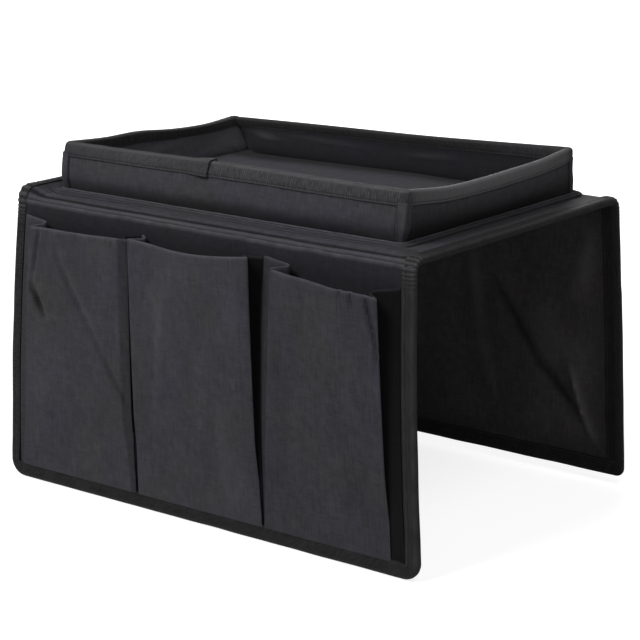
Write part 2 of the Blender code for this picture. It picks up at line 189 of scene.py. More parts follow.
# Pleated pockets, which clear the flat pocket even where its mouth and bulge are those of the solids
PLEATED_MOUTH = 0.016
PLEATED_FOOT = POCKET_FOOT + 0.0015
PLEAT_DEPTH = 0.009
PLEAT_RETURN = 0.009
PLEAT_EASE = 0.8
SEAM_EDGE = 0.0008
PANEL_BELLY = 0.0015
SOLID_MOUTH = 0.0075
SOLID_BULGE = 0.008
POCKET_LABELS = ("left", "middle", "right")
MOUTH_INSET_SHARES = {"left": (0.11, 0.0), "middle": (-0.024, 0.0), "right": (0.14, 0.045)}
FOOT_INSET_SHARES = {"left": (0.0, 0.0), "middle": (0.0, 0.0), "right": (0.0, 0.06)}
CORNER_DEPTH_SHARES = {"left": (0.45, 0.40), "middle": (0.45, 0.70), "right": (0.6, 0.8)}
FOLD_ROUNDINGS = {"left": (0.0012, 0.0060), "middle": (0.0010, 0.0065), "right": (0.0012, 0.0014)}
FOOT_ROUNDING = 0.0010
TIP_ROUNDING = 0.0010
INNER_ROUNDING = 0.0022
# How far down each mouth lies: at even steps over the panel, then at the seam and inner fold of each end
MOUTHS = {
    "left": (0.0167, 0.0155, 0.0153, 0.0150, 0.0143, 0.0139),
    "middle": (0.0130, 0.0133, 0.0148, 0.0148, 0.0132, 0.0106),
    "right": (0.0150, 0.0168, 0.0180, 0.0200, 0.0205, 0.0217),
}
MOUTH_ENDS = {
    "left": ((0.0118, 0.0132), (0.0130, 0.0140)),
    "middle": ((0.0118, 0.0122), (0.0122, 0.0112)),
    "right": ((0.0114, 0.0128), (0.0165, 0.0205)),
}
# Creases of the panels as (start, end, width, height), in shares across and down them
POCKET_CREASES = {
    "left": (((0.125, -0.02), (0.055, 0.235), 0.010, -0.0014), ((0.055, 0.24), (0.20, 0.35), 0.017, -0.0028),
             ((0.12, 0.26), (0.26, 0.36), 0.020, 0.0008), ((0.30, 0.09), (0.72, 0.43), 0.018, -0.0009),
             ((0.38, 0.11), (0.78, 0.44), 0.026, 0.0008), ((0.70, 0.42), (0.97, 0.65), 0.016, -0.0011)),
    "middle": (((0.30, 0.15), (0.22, 0.75), 0.05, 0.0004), ((0.75, 0.35), (0.60, 0.95), 0.05, -0.0004)),
    "right": (((0.88, 0.02), (0.93, 0.14), 0.010, -0.0024), ((0.93, 0.13), (0.985, 0.28), 0.010, -0.0022),
              ((0.74, 0.00), (0.77, 0.07), 0.012, -0.0016), ((0.66, 0.00), (0.67, 0.05), 0.012, -0.0012)),
}
# A section's step in height, the places across its panel, and where its inner and outer fold lie in it
SECTION_STEP = 0.001
PANEL_PLACES = 72
TIP_AT = 8
FOLD_AT = 20
# Painted shade in a panel's creases and painted highlight on its ridges: how much each darkens or lightens
# the panel for each metre of its height
CREASE_PAINTED_LIGHT = 340.0
# Painted shade in the left and right pleats, how much darker each panel is all over, and painted shade on
# each panel's strip at the right
PLEAT_PAINTED_SHADES = (0.25, 0.97)
PANEL_DARKENINGS = {"left": 0.0, "middle": 0.0, "right": 0.13}
STRIP_PAINTED_SHADES = {"left": 0.42, "middle": 0.10, "right": 0.0}
STRIP_START = 0.915

# Tray. Its sides and corners run from the front and the front left, anticlockwise seen from above
TRAY_SIDES = ("front", "right", "rear", "left")
TRAY_CORNER_NAMES = ("front_left", "front_right", "rear_right", "rear_left")
TRAY_CORNER_SIGNS = ((-1, -1), (1, -1), (1, 1), (-1, 1))
TRAY_CENTRE = (TRAY_LOW + TRAY_HIGH) / 2
TRAY_FOOT = TRAY_LOW.z
TRAY_STACK = 2 * FABRIC + BOARD + 4 * GAP
TRAY_HALF_X = 0.139
TRAY_HALF_Y = 0.095
TRAY_HEIGHT = 0.032
TRAY_CORNER = 0.0034
ARC_SHARE = 0.04
FOOT_TUCK = 0.0020
FOOT_TUCK_SHARE = 0.35
CORNER_LEG = 0.0022
CORNER_RIDGE = 0.0009
CORNER_SEAM_SHARE = 0.22
RIM_WIDTH = 0.0085
RIM_JOIN_SHARE = 0.42
RIM_OVERLAP = 0.009
RIM_STEP = 0.0016
# Rubbing and painted highlight along the rim's top
RIM_WEAR_AND_HIGHLIGHT = 0.8
# How far each wall swells halfway up, at even steps between its corners
WALL_SWELLS = {
    "front": (0.0008, 0.0024, 0.0030, 0.0028, 0.0026, 0.0010),
    "right": (0.0006, 0.0036, 0.0048, 0.0046, 0.0030, -0.0020),
    "rear": (-0.0020, 0.0004, 0.0010, 0.0012, 0.0008, 0.0),
    "left": (0.0, 0.0010, 0.0014, 0.0012, 0.0008, 0.0004),
}
# How far the rim at each side's first corner lies from its place over the foot: along X, along Y, and down
RIM_CORNERS = {
    "front": (0.000, 0.0035, 0.0005),
    "right": (0.002, 0.0025, -0.0005),
    "rear": (-0.0005, -0.0035, 0.0012),
    "left": (-0.0065, -0.0090, 0.0080),
}
# How far each rim side bows out and sags between its corners, at even steps
RIM_BOWS = {
    "front": (0.0, -0.0005, -0.001, -0.0005, 0.0, 0.0),
    "right": (0.0, 0.0018, 0.0022, 0.0018, 0.0012, 0.0),
    "rear": (0.0, -0.001, -0.0015, 0.0, 0.0015, 0.0),
    "left": (0.0, -0.003, -0.0025, 0.0005, -0.0005, 0.0),
}
RIM_SAGS = {
    "front": (0.0, 0.0, -0.0005, -0.0005, 0.0, 0.0),
    "right": (0.0, 0.0034, 0.0040, 0.0034, 0.0026, 0.0),
    "rear": (0.0, 0.0006, 0.0010, 0.0009, 0.0008, 0.0004),
    "left": (0.0, 0.002, 0.002, 0.0005, 0.001, 0.0),
}
# How much painted shade darkens each wall at its foot, and up to what share of its height
WALL_PAINTED_SHADES = {"front": (0.70, 0.38), "right": (0.88, 0.78), "rear": (0.5, 0.5), "left": (0.5, 0.5)}
# How far each wall's lining comes in at its foot, at the wall's start and end
BILLOWS = {"front": (0.002, 0.002), "right": (0.002, 0.004), "rear": (0.006, 0.013), "left": (0.004, 0.002)}
# Wrinkles of the tray's linings as (start, end, width, height), in shares along and up the wall
TRAY_CREASES = {
    "front": (),
    "right": (),
    "rear": (((0.93, 0.62), (0.88, 0.42), 0.030, 0.0022), ((0.80, 0.60), (0.62, 0.52), 0.05, 0.0012),
             ((0.45, 0.45), (0.36, 0.55), 0.05, 0.0014)),
    "left": (((0.35, 0.7), (0.6, 0.4), 0.06, 0.0012),),
}
# Painted highlight on the linings' raised wrinkles and painted shade in low ones, for each metre of height
INSIDE_CREASE_PAINTED_LIGHT = 90.0
# The piped seam's two beads, as (outset, height, tone), where tone is painted shade in the grooves and
# painted highlight on the crests
PIPING = (
    (-0.0018, 0.0004, -0.9), (-0.0008, 0.0007, -0.9), (0.0, 0.0008, -0.9), (0.0006, 0.0017, -0.6),
    (0.0012, 0.0022, 0.55), (0.0018, 0.0020, 0.2), (0.0023, 0.0010, -0.8), (0.0028, 0.0006, -0.8),
    (0.0034, 0.0013, 0.15), (0.0040, 0.0013, 0.1), (0.0046, 0.0008, -0.5), (0.0052, 0.0004, -0.3),
)
PIPING_CLOTH = 0.0005

# Textures: sizes along and across the cloth in metres, and scales per metre
SLUB_SIZES = (0.0011, 0.016)
PICK_SIZES = (0.010, 0.0010)
RIB_UNEVEN_SIZES = (0.0016, 0.004)
COVER_PITCH = 0.00052
INSIDE_PITCH = 0.00050
LINING_PITCH = 0.00042
RIB_PITCH = 0.00170
CLOUD_SCALE = 26.0
MOTTLE_SCALE = 210.0
TAPE_CLOUD_SCALE = 40.0
FIBRE_SCALE = 900.0
TWIST_SCALE = 2600.0
# Tints that rubbing and painted highlights lighten the cloths and tapes towards
WORN_AND_HIGHLIGHT_COVER = (0.092, 0.090, 0.098)
WORN_AND_HIGHLIGHT_LINING = (0.085, 0.080, 0.083)
WORN_AND_HIGHLIGHT_TAPE = (0.080, 0.079, 0.083)

# Camera, lamps as (name, place, size, watts), world and floor
CAMERA_PLACE = (0.9258, -1.1573, 0.3083)
CAMERA_YAW = radians(38.6)
CAMERA_PITCH = radians(14.7)
CAMERA_ROLL = radians(-0.4)
CAMERA_LENS = 130.64
CAMERA_SENSOR = 36.0
LAMPS = (
    ("key", (-0.55, -1.45, 1.70), 1.1, 50),
    ("top", (1.05, -0.35, 1.60), 1.1, 11),
    ("back", (-0.90, 1.75, 0.35), 0.9, 20),
    ("fill", (1.7, -1.5, 0.15), 0.9, 5),
)
LAMP_TARGET = Vector((0, 0, -0.05))
WORLD_LIGHT = 0.12
FLOOR_HALF = 4.0
FLOOR_GAP = 0.0002
FLOOR_GREY = 0.50
# The floor glows less near the object, so that the shadow shows there
FLOOR_RANGE = (0.45, 1.2)
FLOOR_GLOWS = (0.80, 1.0)


def smooth_step(value):
    value = min(max(value, 0.0), 1.0)
    return value * value * (3 - 2 * value)


def ramp(value, start, run):
    """From 0 at the start to 1 a run further, eased at both ends."""
    return smooth_step((value - start) / run)


def hump(value, centre, width):
    """1 at the centre, fading over a width to both sides."""
    return exp(-((value - centre) / width) ** 2)


def mix(first, second, share):
    return first + (second - first) * share


def spread(start, end, step):
    """Even values from start to end, about a step apart."""
    count = max(1, round(abs(end - start) / step))
    return [mix(start, end, k / count) for k in range(count + 1)]


def joined(*runs):
    """Runs of values put end to end, where each starts on the last one's end."""
    values = list(runs[0])
    for run in runs[1:]:
        values += run[1:]
    return values


def through(values, share):
    """A smooth curve through evenly spaced values."""
    place = min(max(share, 0.0), 1.0) * (len(values) - 1)
    k = min(int(place), len(values) - 2)
    t = place - k
    a, b = values[k], values[k + 1]
    before = values[k - 1] if k else 2 * a - b
    after = values[k + 2] if k + 2 < len(values) else 2 * b - a
    bend = (2 * before - 5 * a + 4 * b - after) * t * t + (3 * a - before - 3 * b + after) * t ** 3
    return a + ((b - before) * t + bend) / 2


def ripple(*place):
    """Gentle unevenness between -1 and 1 at a scaled place, where a bare number picks the pattern."""
    return noise.noise(Vector(place))


def crease_sum(creases, x, y):
    """The height at a place of creases that fade along their length and to both sides."""
    total = 0.0
    for (ax, ay), (bx, by), width, height in creases:
        dx, dy = bx - ax, by - ay
        share = ((x - ax) * dx + (y - ay) * dy) / (dx * dx + dy * dy)
        near = min(max(share, 0.0), 1.0)
        away = hypot(x - ax - dx * near, y - ay - dy * near)
        total += height * hump(away, 0.0, width) * (0.4 + 0.6 * sin(pi * near))
    return total


# Meshes

def link(name, data):
    item = bpy.data.objects.new(name, data)
    bpy.context.scene.collection.objects.link(item)
    return item


def evaluated_mesh(item):
    scene = bpy.context.evaluated_depsgraph_get()
    return bpy.data.meshes.new_from_object(item.evaluated_get(scene), depsgraph=scene)


def store(mesh, name, kind, field, values):
    layer = mesh.attributes.new(name, kind, "POINT")
    layer.data.foreach_set(field, np.asarray(values, np.float32).ravel())


def cloth(name, columns, rows, point, thickness, material, wear_and_painted_light=None):
    """A sheet through point(column, row), thickened about itself.

    Its thread attribute gives each place along and across the cloth in metres. A second attribute lightens it
    where it is positive, with rubbing and painted highlights, and darkens it where it is negative, mostly
    with painted shade.
    """
    grid = np.array([[point(column, row) for column in columns] for row in rows], float)
    height, width = grid.shape[:2]
    along = np.zeros((height, width, 3))
    along[:, 1:, 0] = np.cumsum(np.linalg.norm(np.diff(grid, axis=1), axis=2), axis=1)
    along[1:, :, 1] = np.cumsum(np.linalg.norm(np.diff(grid, axis=0), axis=2), axis=0)
    faces = [(r * width + c, r * width + c + 1, (r + 1) * width + c + 1, (r + 1) * width + c)
             for r in range(height - 1) for c in range(width - 1)]
    mesh = bpy.data.meshes.new(name)
    mesh.from_pydata(grid.reshape(-1, 3).tolist(), [], faces)
    store(mesh, "thread", "FLOAT_VECTOR", "vector", along)
    worn_and_painted_light = [[wear_and_painted_light(column, row) if wear_and_painted_light else 0.0 for column in columns] for row in rows]
    store(mesh, "wear_and_painted_light", "FLOAT", "value", worn_and_painted_light)
    mesh.materials.append(material)
    item = link(name, mesh)
    solid = item.modifiers.new("Thickness", "SOLIDIFY")
    solid.thickness = thickness
    solid.offset = 0
    mesh = evaluated_mesh(item)
    item.modifiers.clear()
    item.data = mesh
    mesh.shade_smooth()
    mesh.set_sharp_from_angle(angle=SHARP_ANGLE)
    return item


def stitches(at, length):
    """A row of stitches, each an arched run of places; at(distance, lift) is a place on the seam."""
    count = max(1, round(length / STITCH_PITCH))
    runs = []
    for k in range(count):
        start = (k + 0.12) * length / count
        runs.append([at(start + STITCH_LENGTH * share, lift) for share, lift in STITCH_ARCH])
    return runs


def thread(name, runs):
    """Lengths of thread along runs of places, as one mesh."""
    curve = bpy.data.curves.new(name, "CURVE")
    curve.dimensions = "3D"
    curve.bevel_depth = THREAD_RADIUS
    curve.bevel_resolution = 1
    curve.use_fill_caps = True
    for run in runs:
        spline = curve.splines.new("POLY")
        spline.points.add(len(run) - 1)
        for point, place in zip(spline.points, run):
            point.co = (*place, 1)
    item = link(name + "_curve", curve)
    mesh = evaluated_mesh(item)
    bpy.data.objects.remove(item)
    mesh.shade_smooth()
    mesh.materials.clear()
    mesh.materials.append(THREAD)
    return link(name, mesh)


def dress(item, nodes=(), body=None):
    """Hides the CAD nodes that a piece stands for, and attaches one that doesn't bend to its body."""
    if body:
        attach(item, body)
    if nodes:
        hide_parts(*nodes)


# Materials

class Wiring:
    """Short ways to add nodes to a tree."""

    def __init__(self, tree):
        self.nodes = tree.nodes
        self.links = tree.links

    def plug(self, socket, value):
        if isinstance(value, bpy.types.NodeSocket):
            self.links.new(value, socket)
        else:
            socket.default_value = value

    def node(self, kind, inputs=None, **settings):
        """A new node, its settings made and its inputs set or linked."""
        node = self.nodes.new("ShaderNode" + kind)
        for name, value in settings.items():
            setattr(node, name, value)
        for key, value in (inputs or {}).items():
            self.plug(node.inputs[key], value)
        return node

    def math(self, operation, *values):
        return self.node("Math", dict(enumerate(values)), operation=operation).outputs[0]

    def carried(self, value, source, target):
        """A value carried from one range to another."""
        inputs = {"Value": value, "From Min": source[0], "From Max": source[1], "To Min": target[0],
                  "To Max": target[1]}
        return self.node("MapRange", inputs).outputs["Result"]


class Shading(Wiring):
    """A principled material and what cloth and tape need of it."""

    def __init__(self, name, roughness, sheen=0.0, specular=0.15):
        self.material = bpy.data.materials.new(name)
        self.material.use_nodes = True
        super().__init__(self.material.node_tree)
        self.shader = self.nodes["Principled BSDF"]
        self.shader.inputs["Roughness"].default_value = roughness
        self.shader.inputs["Sheen Weight"].default_value = sheen
        self.shader.inputs["Sheen Roughness"].default_value = 0.5
        self.shader.inputs["Specular IOR Level"].default_value = specular

    def attribute(self, name, output):
        return self.node("Attribute", attribute_name=name).outputs[output]

    def threads(self):
        """Places along and across the cloth in metres."""
        places = self.node("SeparateXYZ", {0: self.attribute("thread", "Vector")})
        return places.outputs[0], places.outputs[1]

    def scaled(self, places, sizes):
        """A vector that counts sizes along and across the cloth."""
        counts = [self.math("MULTIPLY", place, 1 / size) for place, size in zip(places, sizes)]
        return self.node("CombineXYZ", dict(enumerate(counts))).outputs[0]

    def position(self):
        return self.node("TexCoord").outputs["Object"]

    def noise(self, vector, scale=1.0, detail=2.0, roughness=0.5):
        inputs = {"Vector": vector, "Scale": scale, "Detail": detail, "Roughness": roughness}
        return self.node("TexNoise", inputs).outputs["Fac"]

    def between(self, value, low, high):
        """A value from 0 to 1 spread from low to high."""
        return self.math("MULTIPLY_ADD", value, high - low, low)

    def blend(self, share, first, second):
        inputs = {0: share}
        for slot, value in ((6, first), (7, second)):
            inputs[slot] = value if isinstance(value, bpy.types.NodeSocket) else (*value, 1.0)
        return self.node("Mix", inputs, data_type="RGBA").outputs[2]

    def brightened(self, colour, amount):
        return self.node("VectorMath", {0: colour, "Scale": amount}, operation="SCALE").outputs[0]

    def rubbed_and_painted_light(self, colour, worn_and_painted_light):
        """A colour made lighter where the per-point attribute is positive, with rubbing and painted
        highlights, and darker where it is negative, mostly with painted shade.
        """
        wear_and_painted_light = self.attribute("wear_and_painted_light", "Fac")
        colour = self.blend(self.math("MAXIMUM", wear_and_painted_light, 0.0), colour, worn_and_painted_light)
        return self.brightened(colour, self.math("ADD", self.math("MINIMUM", wear_and_painted_light, 0.0), 1.0))

    def weave(self, places, pitch):
        """The height of a plain weave: warp and weft threads pass over each other by turns."""
        warp, weft = (self.math("SINE", self.math("MULTIPLY", place, pi / pitch)) for place in places)
        over = self.math("GREATER_THAN", self.math("MULTIPLY", warp, weft), 0.0)
        warp_height = self.math("MULTIPLY", self.math("ABSOLUTE", warp), over)
        weft_height = self.math("MULTIPLY", self.math("ABSOLUTE", weft), self.math("SUBTRACT", 1.0, over))
        return self.math("ADD", warp_height, weft_height)

    def finish(self, colour, height, relief):
        bump = self.node("Bump", {"Distance": relief, "Height": height})
        self.plug(self.shader.inputs["Normal"], bump.outputs[0])
        self.plug(self.shader.inputs["Base Color"], colour)
        return self.material


def woven(name, warm, cool, worn_and_painted_light, pitch, roughness=0.85, sheen=0.04, relief=0.00010):
    """A plain woven cloth with uneven threads, two close tints, edges lightened by rubbing and painted
    highlights, and painted shade.
    """
    shading = Shading(name, roughness, sheen)
    places = shading.threads()
    slubs = shading.noise(shading.scaled(places, SLUB_SIZES), detail=3.0)
    picks = shading.noise(shading.scaled(places, PICK_SIZES))
    clouds = shading.between(shading.noise(shading.position(), CLOUD_SCALE, 3.0), -0.9, 1.9)
    mottle = shading.noise(shading.position(), MOTTLE_SCALE, 3.0, 0.6)
    streaks = shading.math("ADD", shading.between(slubs, 0.58, 1.42), shading.between(picks, -0.30, 0.30))
    streaks = shading.math("ADD", streaks, shading.between(mottle, -0.40, 0.40))
    colour = shading.blend(shading.math("SMOOTH_MIN", clouds, 1.0, 0.1), warm, cool)
    colour = shading.rubbed_and_painted_light(shading.brightened(colour, streaks), worn_and_painted_light)
    height = shading.math("ADD", shading.weave(places, pitch), shading.math("MULTIPLY", slubs, 1.2))
    return shading.finish(colour, height, relief)


def ribbed(name, dark, light, relief):
    """Grosgrain tape: fine ribs across it, an edge lightened by rubbing and a painted highlight, and painted
    light and shade.
    """
    shading = Shading(name, 0.75, 0.04)
    places = shading.threads()
    ribs = shading.math("ABSOLUTE", shading.math("SINE", shading.math("MULTIPLY", places[0], pi / RIB_PITCH)))
    uneven = shading.between(shading.noise(shading.scaled(places, RIB_UNEVEN_SIZES), detail=3.0), -0.75, 1.90)
    uneven = shading.math("MINIMUM", shading.math("MAXIMUM", uneven, 0.0), 1.0)
    clouds = shading.between(shading.noise(shading.position(), TAPE_CLOUD_SCALE), 0.8, 1.2)
    colour = shading.blend(shading.math("MULTIPLY", ribs, uneven), dark, light)
    colour = shading.rubbed_and_painted_light(shading.brightened(colour, clouds), WORN_AND_HIGHLIGHT_TAPE)
    height = shading.math("ADD", ribs, shading.math("MULTIPLY", uneven, 0.8))
    return shading.finish(colour, height, relief)


def pressed_board(name):
    """Grey-brown board with faint fibres."""
    shading = Shading(name, 0.85)
    fibres = shading.noise(shading.position(), FIBRE_SCALE, 4.0, 0.7)
    colour = shading.blend(fibres, (0.24, 0.19, 0.13), (0.36, 0.29, 0.21))
    return shading.finish(colour, fibres, 0.00004)


def sewing_thread(name):
    """Twisted thread, a little glossier than the tape."""
    shading = Shading(name, 0.55, 0.1)
    twist = shading.noise(shading.position(), TWIST_SCALE)
    colour = shading.blend(twist, (0.012, 0.012, 0.013), (0.036, 0.036, 0.038))
    return shading.finish(colour, twist, 0.00005)


COVER = woven("cover_cloth", (0.0390, 0.0380, 0.0405), (0.0385, 0.0370, 0.0490), WORN_AND_HIGHLIGHT_COVER, COVER_PITCH)
# A darker copy of the cover cloth: its darkness is painted shade on the magazine pocket
SHADED_MAGAZINE_CLOTH = woven("shaded_magazine_cloth", (0.0135, 0.0130, 0.0150), (0.0130, 0.0125, 0.0190), WORN_AND_HIGHLIGHT_COVER,
                       COVER_PITCH, sheen=0.03)
# A darker copy of the cover cloth for the rear wall's lining, its darkness painted shade
SHADED_REAR_INSIDE = woven("shaded_tray_lining_cloth", (0.0085, 0.0082, 0.0098), (0.0085, 0.0080, 0.0115), WORN_AND_HIGHLIGHT_COVER,
               INSIDE_PITCH, relief=0.00008)
LINING = woven("lining_cloth", (0.0440, 0.0395, 0.0405), (0.0440, 0.0405, 0.0440), WORN_AND_HIGHLIGHT_LINING,
               LINING_PITCH, roughness=0.75, sheen=0.02, relief=0.00006)
TAPE_FINISH = ribbed("edge_grosgrain", (0.0040, 0.0040, 0.0040), (0.0280, 0.0280, 0.0285), 0.00020)
RIM_FINISH = ribbed("rim_grosgrain", (0.018, 0.018, 0.019), (0.052, 0.050, 0.055), 0.00013)
BOARD_FINISH = pressed_board("pressed_board")
THREAD = sewing_thread("sewing_thread")


# The drape

def fold_length(side):
    return FOLD_RADIUS * (pi / 2 - SPLAYS[side])


def fold_down(side):
    """How far below the hinge the fold ends."""
    return FOLD_RADIUS * (cos(SPLAYS[side]) - sin(SPLAYS[side]))


def down_of(side, s):
    return s - fold_length(side) + fold_down(side)


def s_of(side, down):
    return down + fold_length(side) - fold_down(side)


def flap_bow(side, down):
    """How far a flap bows outwards between its top and its foot."""
    return FLAP_BOWS[side] * sin(pi * min(max(down / FLAP_DROP, 0.0), 1.0))


def flap_place(side, x, down, out):
    splay = SPLAYS[side]
    y = HINGE_Y + out * cos(splay) + down * sin(splay)
    rise = FLAP_RISES[side] * smooth_step(down / FLAP_DROP)
    return Vector((x, side * y, MIDDLE + out * sin(splay) - down * cos(splay) + rise))


def end_curl(side, x, s):
    """How far the platform's left end curls up beside the tray's front corner."""
    if side > 0:
        return 0.0
    return CURL_RISE * ramp(-x, *CURL_ALONG) * ramp(-s, *CURL_TO_FOLD) * ramp(s, *CURL_FROM_MIDDLE)


def drape(side, x, s, out):
    """A place on the drape."""
    out += end_curl(side, x, s) * ramp(out, -MIDDLE, 2 * MIDDLE)
    if s <= 0:
        return Vector((x, side * (FOLD_START + s), MIDDLE + out))
    if s < fold_length(side):
        radius = FOLD_RADIUS + out
        angle = s / FOLD_RADIUS
        z = MIDDLE - FOLD_RADIUS + radius * cos(angle)
        return Vector((x, side * (FOLD_START + radius * sin(angle)), z))
    down = down_of(side, s)
    splay = SPLAYS[side]
    step = FOLD_RADIUS * (cos(splay) + sin(splay) - 1) * (1 - ramp(s, fold_length(side), SETTLE))
    return flap_place(side, x, down, out - step + flap_bow(side, down))


def half_width(side, s):
    """Half the drape's width, its tape left out."""
    return HALF_LENGTH + FLAP_FLARE * max(down_of(side, s), 0.0) / FLAP_DROP


def half_limit(side, s, inset):
    """Half the width of a layer that ends inset from the drape's edge, its rounded foot included."""
    foot = s_of(side, FLAP_DROP)
    corner = FLAP_CORNERS[side]
    radius = max(corner - inset, GAP)
    below = s - (foot - corner)
    half = half_width(side, min(s, foot - corner)) - inset
    if below <= 0:
        return half
    return half - radius + max(radius ** 2 - min(below, radius) ** 2, 0.0) ** 0.5


def between_tapes(side, x, s, leg, run):
    """1 between the tapes' legs, falling to 0 over a run beside them."""
    return smooth_step((half_width(side, s) - leg - abs(x)) / run)


def fold_ridges(ridges, x, s):
    """The height of swells or creases of the front fold, which wander and come and go along it."""
    across = s - 0.0006 * ripple(x * 18, 2.0, 0.0)
    total = 0.0
    for place, width, height in ridges:
        strength = 0.8 + 0.7 * ripple(x * 12, place * 900, 6.0)
        total += height * strength * hump(across, place, width)
    return total


def fold_relief(x, s):
    """Soft ridges and creases along the front fold."""
    small = 0.00010 * ripple(x * 70, s * 260, 3.0) + 0.00010 * ripple(x * 9, s * 700, 13.0)
    ends = ramp(-abs(x), TAPE_WIDTH - HALF_LENGTH, 0.006)
    return (fold_ridges(FOLD_SWELLS + FOLD_CREASES, x, s) + small) * ends


def rear_relief(x, s):
    return 0.00022 * ripple(x * 30, s * 45, 7.0)


def cover_painted_light(x, s):
    """Painted shade in the fold's creases, round the tray's foot and, in uneven streaks, on the platform's
    ends, and painted highlight on the fold's ridges.
    """
    y = -(FOLD_START + s)
    from_tray = max(abs(x - TRAY_CENTRE.x) - TRAY_HALF_X, abs(y - TRAY_CENTRE.y) - TRAY_HALF_Y)
    painted_light = FOLD_CREASE_PAINTED_LIGHT * fold_ridges(FOLD_CREASES, x, s) - 0.40 * hump(max(from_tray, 0.0), 0.0, 0.008)
    # Painted shade on the platform's ends beside the tray, uneven in streaks
    if s < 0 and abs(x) > TRAY_HALF_X + 0.006:
        painted_light -= 0.30 + 0.55 * ripple(x * 420, s * 14, 17.0)
    return max(painted_light, -0.80)


def lining_relief(side, x, s):
    """Wrinkles of the lining, away from the board where they are positive."""
    down = down_of(side, s)
    if down <= 0:
        return LINING_SLACK + 0.0003 * ripple(x * 26, s * 30, 5.0)
    ends = between_tapes(side, x, s, TAPE_WIDTH, 0.02) * ramp(down, 0.0, 0.02)
    ends *= smooth_step((FLAP_DROP - TAPE_WIDTH - down) / 0.015)
    wrinkles = UPRIGHT_WRINKLE * ripple(x * 42, down * 9, 11.0 + side)
    wrinkles += SOFT_WRINKLE * ripple(x * 16, down * 22, 5.0 + side)
    return LINING_SLACK + ends * (LINING_SWELL + wrinkles + crease_sum(LINING_CREASES[side], x, down))


def drape_columns(step):
    return spread(-1.0, 1.0, step / HALF_LENGTH)


def drape_rows(side):
    foot = s_of(side, FLAP_DROP)
    return joined(spread(-FOLD_START, -0.016, 0.006), spread(-0.016, 0.014, 0.0006),
                  spread(0.014, foot - 0.004, 0.003))


def bend_with(piece):
    """Bakes the piece's transform into its mesh."""
    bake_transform(piece)


def drape_nodes(side, part):
    """The solids of one layer of half the drape: the platform's own goes with the front half."""
    names = ["platform_" + part] if side < 0 else []
    return names + [SIDE_NAMES[side] + "_" + place + "_" + part for place in ("fold", "flap")]


def drape_layer(side, part, out, painted_light, material):
    """One layer of half the drape, from the platform's middle to a flap's foot."""
    def point(share, s):
        x = share * half_limit(side, s, COVER_INSET)
        return drape(side, x, s, out(x, s))

    def wear_and_painted_light(share, s):
        return painted_light(share * half_limit(side, s, COVER_INSET), s)

    name = SIDE_NAMES[side] + "_" + part
    item = cloth(name, drape_columns(0.0026), drape_rows(side), point, FABRIC, material, wear_and_painted_light)
    bend_with(item)
    dress(item, drape_nodes(side, part))


def drape_cover(side):
    relief = fold_relief if side < 0 else rear_relief

    def out(x, s):
        return COVER_OUT + relief(x, s)

    drape_layer(side, "cover", out, cover_painted_light, COVER)


def drape_lining(side):
    def out(x, s):
        tucked = between_tapes(side, x, s, INNER_LEG - 0.004, 0.004)
        return -COVER_OUT - max(lining_relief(side, x, s), -LINING_DIP) * tucked

    def painted_light(x, s):
        # Painted highlight on raised wrinkles, painted shade in low ones
        return LINING_PAINTED_LIGHT * (lining_relief(side, x, s) - LINING_LEVEL)

    drape_layer(side, "lining", out, painted_light, LINING)


def flap_board(side):
    top = s_of(side, FOLD_RADIUS + GAP)
    foot = s_of(side, FLAP_DROP - BOARD_INSET)

    def point(share, s):
        return drape(side, share * half_limit(side, s, BOARD_INSET), s, 0.0)

    name = SIDE_NAMES[side]
    item = cloth(name + "_board", drape_columns(0.02), spread(top, foot, 0.012), point, BOARD, BOARD_FINISH)
    dress(item, [name + "_flap_board"], BODIES[side])


# Edge tape

class Edge:
    """The bound edge of half the drape: down one end from the platform's middle, round the foot and back."""

    def __init__(self, side):
        self.side = side
        foot = s_of(side, FLAP_DROP)
        radius = FLAP_CORNERS[side]
        corner = foot - radius
        places = joined(spread(-FOLD_START, -0.006, 0.004), spread(-0.006, 0.020, 0.0005),
                        spread(0.020, corner, 0.0026))
        half = [(half_width(side, s), s, -1.0, 0.0) for s in places]
        centre = half[-1][0] - radius
        for step in range(1, 13):
            angle = pi / 2 * step / 12
            across, along = cos(angle), sin(angle)
            half.append((centre + radius * across, corner + radius * along, -across, -along))
        half += [(x, foot, 0.0, -1.0) for x in spread(centre, 0.0, 0.0026)[1:]]
        stations = [(-x, s, -nx, ns) for x, s, nx, ns in half] + half[-2::-1]
        self.lengths = [0.0]
        for a, b in zip(stations, stations[1:]):
            self.lengths.append(self.lengths[-1] + hypot(b[0] - a[0], b[1] - a[1]))
        self.length = self.lengths[-1]
        self.columns = tuple(zip(*stations))

    def station(self, distance):
        """x and s that far along the edge, and the direction inwards from it."""
        return [float(np.interp(distance, self.lengths, column)) for column in self.columns]

    def s_at(self, distance):
        return self.station(distance)[1]

    def leg_at(self, distance):
        """How wide the tape's outer leg is there: as wide as the tape along the foot only."""
        return mix(SIDE_LEG, TAPE_WIDTH, smooth_step(-self.station(distance)[3]))

    def at(self, distance, inset, out):
        """The place that far along the edge, inset from it."""
        x, s, nx, ns = self.station(distance)
        return drape(self.side, x + nx * inset, s + ns * inset, out)


def tape_rise(side, s):
    """The middle of the tape's outer leg, which steps up at the pocket's mouth, and in front at the foot."""
    mouth = s_of(side, MAGAZINE_MOUTH if side < 0 else REAR_MOUTH)
    low = COVER_OUT + FABRIC / 2 + TAPE / 2 + TOUCH
    onto_pocket = LAYER_STEP * ramp(s, mouth - 0.002, 0.006)
    onto_foot = LAYER_STEP * ramp(s, s_of(side, FLAP_DROP - 0.028), 0.014) if side < 0 else 0.0
    return low + onto_pocket + onto_foot


